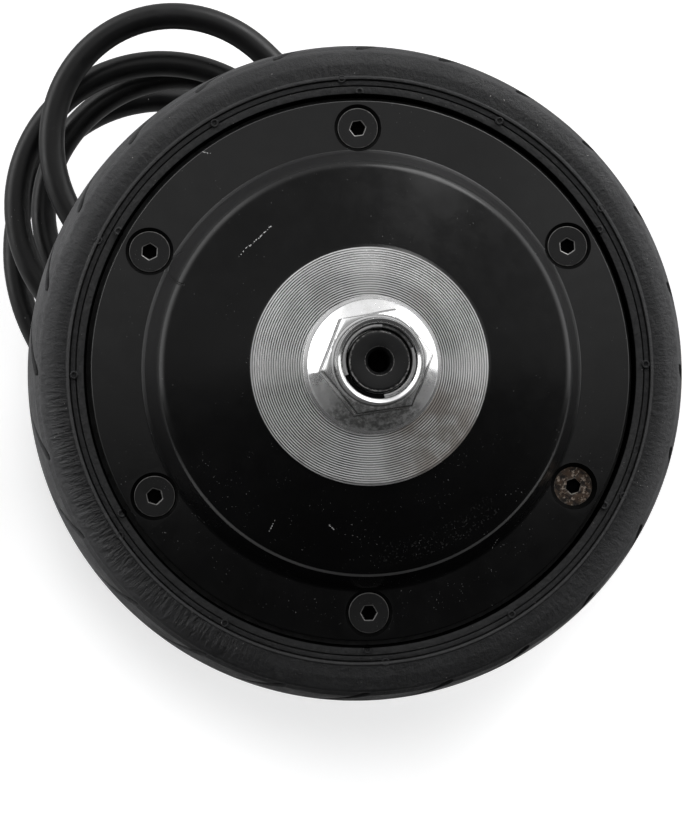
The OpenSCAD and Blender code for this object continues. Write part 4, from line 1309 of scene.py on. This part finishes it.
INSIDE = {
    "axle_key": GROUND_STEEL, "stator_hub": CAST_ALUMINIUM, "stator_core": LAMINATED,
    "stator_coils": COPPER, "hall_board": BOARD, "hall_sensors": BLACK_PLASTIC,
    # the rim is soft black as painted shade for the gaps beside the covers
    "phase_leads": WIRE["blue"], "hall_leads": WIRE["red"], "rim": SOFT_BLACK, "rotor_ring": BARE_STEEL,
    "magnets": NICKEL,
}
INSIDE_EACH_SIDE = {
    "insulator": INSULATOR, "inner_race": GROUND_STEEL, "outer_race": GROUND_STEEL,
    "bearing_balls": GROUND_STEEL, "bearing_cage": BRASS, "bearing_seals": SOFT_BLACK,
    "cover_seal": SOFT_BLACK, "shaft_seal": SOFT_BLACK,
}
INSIDE.update({f"{side}_{part}": look for side in SIDES for part, look in INSIDE_EACH_SIDE.items()})


def dress_nodes():
    """Gives the CAD's own meshes, which stay for the pieces inside, their materials."""
    for name, material in INSIDE.items():
        mesh = frame["nodes"][name].data
        mesh.materials.clear()
        mesh.materials.append(material)


# ---------------------------------------------------------------- stage, light and camera

TENT = 2.0                # brightness of the tent's sides
OPENING = (0.02, 0.6)     # brightness round the camera, below its axis and above it
OPENING_SIDE = 0.55       # the opening's share that is left 40 degrees away from the camera
SURROUND = 0.97           # what the camera sees beyond the backdrop
CLEAR_COS = (0.25, 0.7)   # cosines of the angles from the camera's axis over which the tent gives way
LOW_SHARE = 0.045
TOP_SHARE = 0.28
BACK_SHARE = 0.5

GLOW = 0.64                   # the backdrop's own brightness
SHADOW = (6, -12, 84, 110)    # the shadow painted on the wall: centre x, y and the radii between which it fades
SHADE_SHARE = 0.74            # what the shadow leaves of the glow

KEY_PLACE = (250, 560, 300)
KEY_SIZE = 300
KEY_WATTS = 1.3

# seen by the camera: where the wheel's centre is, right of the middle and above it, and which way its
# front faces, as right, up and towards the camera
CAMERA_DISTANCE = 450
CAMERA_SHIFT = (3.62, 11.22)
CAMERA_FACE = (0.0801, 0.0236, 0.9965)
CAMERA_ROLL_DEG = 1.3
CAMERA_LENS = 93.0


def backdrop(low, high):
    """A pale sweep: floor, curve and wall just behind the object. It hides nothing from behind."""
    s = Shade("backdrop")
    path = s.node("ShaderNodeLightPath")
    # in reflections it is pale only behind the object, so that the front's lower half stays dark
    behind = s.times(s.span(s.h, -30, 20, 0.4, 0.0), path.outputs["Is Glossy Ray"])
    pale = s.either(path.outputs["Is Camera Ray"], behind)
    color = s.mix(s.noise(30, 2), (0.86, 0.86, 0.865), (0.9, 0.9, 0.905))
    color = s.mix(pale, 0.03, color)
    # a soft shadow of the wheel, painted on the wall
    shade = s.span(s.radius(SHADOW[:2]), *SHADOW[2:], SHADE_SHARE, 1.0)
    color = s.mix(shade, 0, color)
    s.finish(color, 0.8, emission_color=1, emission_strength=s.times(pale, shade, GLOW))
    clear = s.node("ShaderNodeBsdfTransparent")
    geometry = s.node("ShaderNodeNewGeometry")
    gone = s.either(geometry.outputs["Backfacing"], path.outputs["Is Shadow Ray"])
    choose = s.node("ShaderNodeMixShader")
    for socket, value in zip(choose.inputs, (gone, s.bsdf.outputs[0], clear.outputs[0])):
        s.put(socket, value)
    s.put(s.tree.nodes["Material Output"].inputs["Surface"], choose.outputs[0])
    # in metres
    floor_gap, wall_gap, bend = 0.045, 0.012, 0.1
    reach, tall, near = 2.0, 2.0, -2.5
    floor_z, wall_y = low.z - floor_gap, high.y + wall_gap
    side = [(near, floor_z)]
    for a in np.linspace(0, math.pi / 2, 17):
        side.append((wall_y - bend + bend * math.sin(a), floor_z + bend - bend * math.cos(a)))
    side.append((wall_y, tall))
    verts = [(x, y, z) for y, z in side for x in (-reach, reach)]
    faces = [(2 * k, 2 * k + 1, 2 * k + 3, 2 * k + 2) for k in range(len(side) - 1)]
    mesh = bpy.data.meshes.new("backdrop")
    mesh.from_pydata(verts, [], faces)
    mesh.materials.append(s.material)
    mesh.shade_smooth()
    obj = bpy.data.objects.new("backdrop", mesh)
    bpy.context.scene.collection.objects.link(obj)
    obj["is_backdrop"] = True


def world_light():
    """The camera sees a pale surround. The object is lit by a tent that is open and dim round the camera,
    bright to both sides, softer above and dark below."""
    world = bpy.data.worlds.new("studio")
    bpy.context.scene.world = world
    world.use_nodes = True
    w = Nodes(world.node_tree)
    x, y, z = w.axes(w.node("ShaderNodeTexCoord").outputs["Generated"])
    toward = w.times(y, -1)
    across = w.either(w.math("SQRT", w.add(w.times(x, x), w.times(z, z))), 0.001)
    height = w.math("DIVIDE", z, across)
    sideways = w.math("DIVIDE", x, across)
    tent = w.times(
        w.span(toward, *CLEAR_COS, 1.0, 0.0), w.span(height, -0.72, -0.46, LOW_SHARE, 1.0),
        w.span(height, 0.8, 0.97, 1.0, TOP_SHARE), w.span(sideways, -1, 1, 1.1, 0.85),
        w.span(toward, -0.4, 0.0, BACK_SHARE, 1.0), TENT)
    opening = w.times(w.span(z, -0.07, 0.09, *OPENING), w.span(toward, 0.8, 0.96, OPENING_SIDE, 1.0))
    lit = w.add(tent, opening)
    seen = w.node("ShaderNodeLightPath").outputs["Is Camera Ray"]
    strength = w.add(w.times(w.less(1.0, seen), lit), w.times(seen, SURROUND))
    background = w.tree.nodes["Background"]
    background.inputs["Color"].default_value = (1, 1, 1, 1)
    w.put(background.inputs["Strength"], strength)


def key_light():
    """A soft square light that looks at the wheel from the upper right."""
    data = bpy.data.lights.new("key", "AREA")
    data.size = KEY_SIZE * MM
    data.energy = KEY_WATTS
    light = bpy.data.objects.new("key", data)
    light.location = front(KEY_PLACE)
    light.rotation_euler = light.location.to_track_quat("Z", "Y").to_euler()
    bpy.context.scene.collection.objects.link(light)


def make_camera():
    """Looks at the wheel's front a little from the left and below."""
    right, up = CAMERA_SHIFT
    face = Vector(CAMERA_FACE).normalized()
    roll = math.radians(CAMERA_ROLL_DEG)
    across = (Vector((1, 0, 0)) - face * face.x).normalized()
    upward = face.cross(across)
    x_axis = math.cos(roll) * across + math.sin(roll) * upward
    z_axis = math.cos(roll) * upward - math.sin(roll) * across
    to_world = Matrix((x_axis, -face, z_axis))
    data = bpy.data.cameras.new("camera")
    data.sensor_fit = "HORIZONTAL"
    data.sensor_width = 36
    data.lens = CAMERA_LENS
    data.clip_start, data.clip_end = 0.01, 20
    camera = bpy.data.objects.new("camera", data)
    place = to_world @ Vector((-right, -up, CAMERA_DISTANCE)) * MM
    camera.matrix_world = Matrix.Translation(place) @ to_world.to_4x4()
    bpy.context.scene.collection.objects.link(camera)
    bpy.context.scene.camera = camera


def make_stage():
    backdrop(*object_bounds())
    world_light()
    key_light()
    bpy.context.scene.view_settings.view_transform = "Standard"
    make_camera()


make_pieces()
dress_nodes()
make_stage()
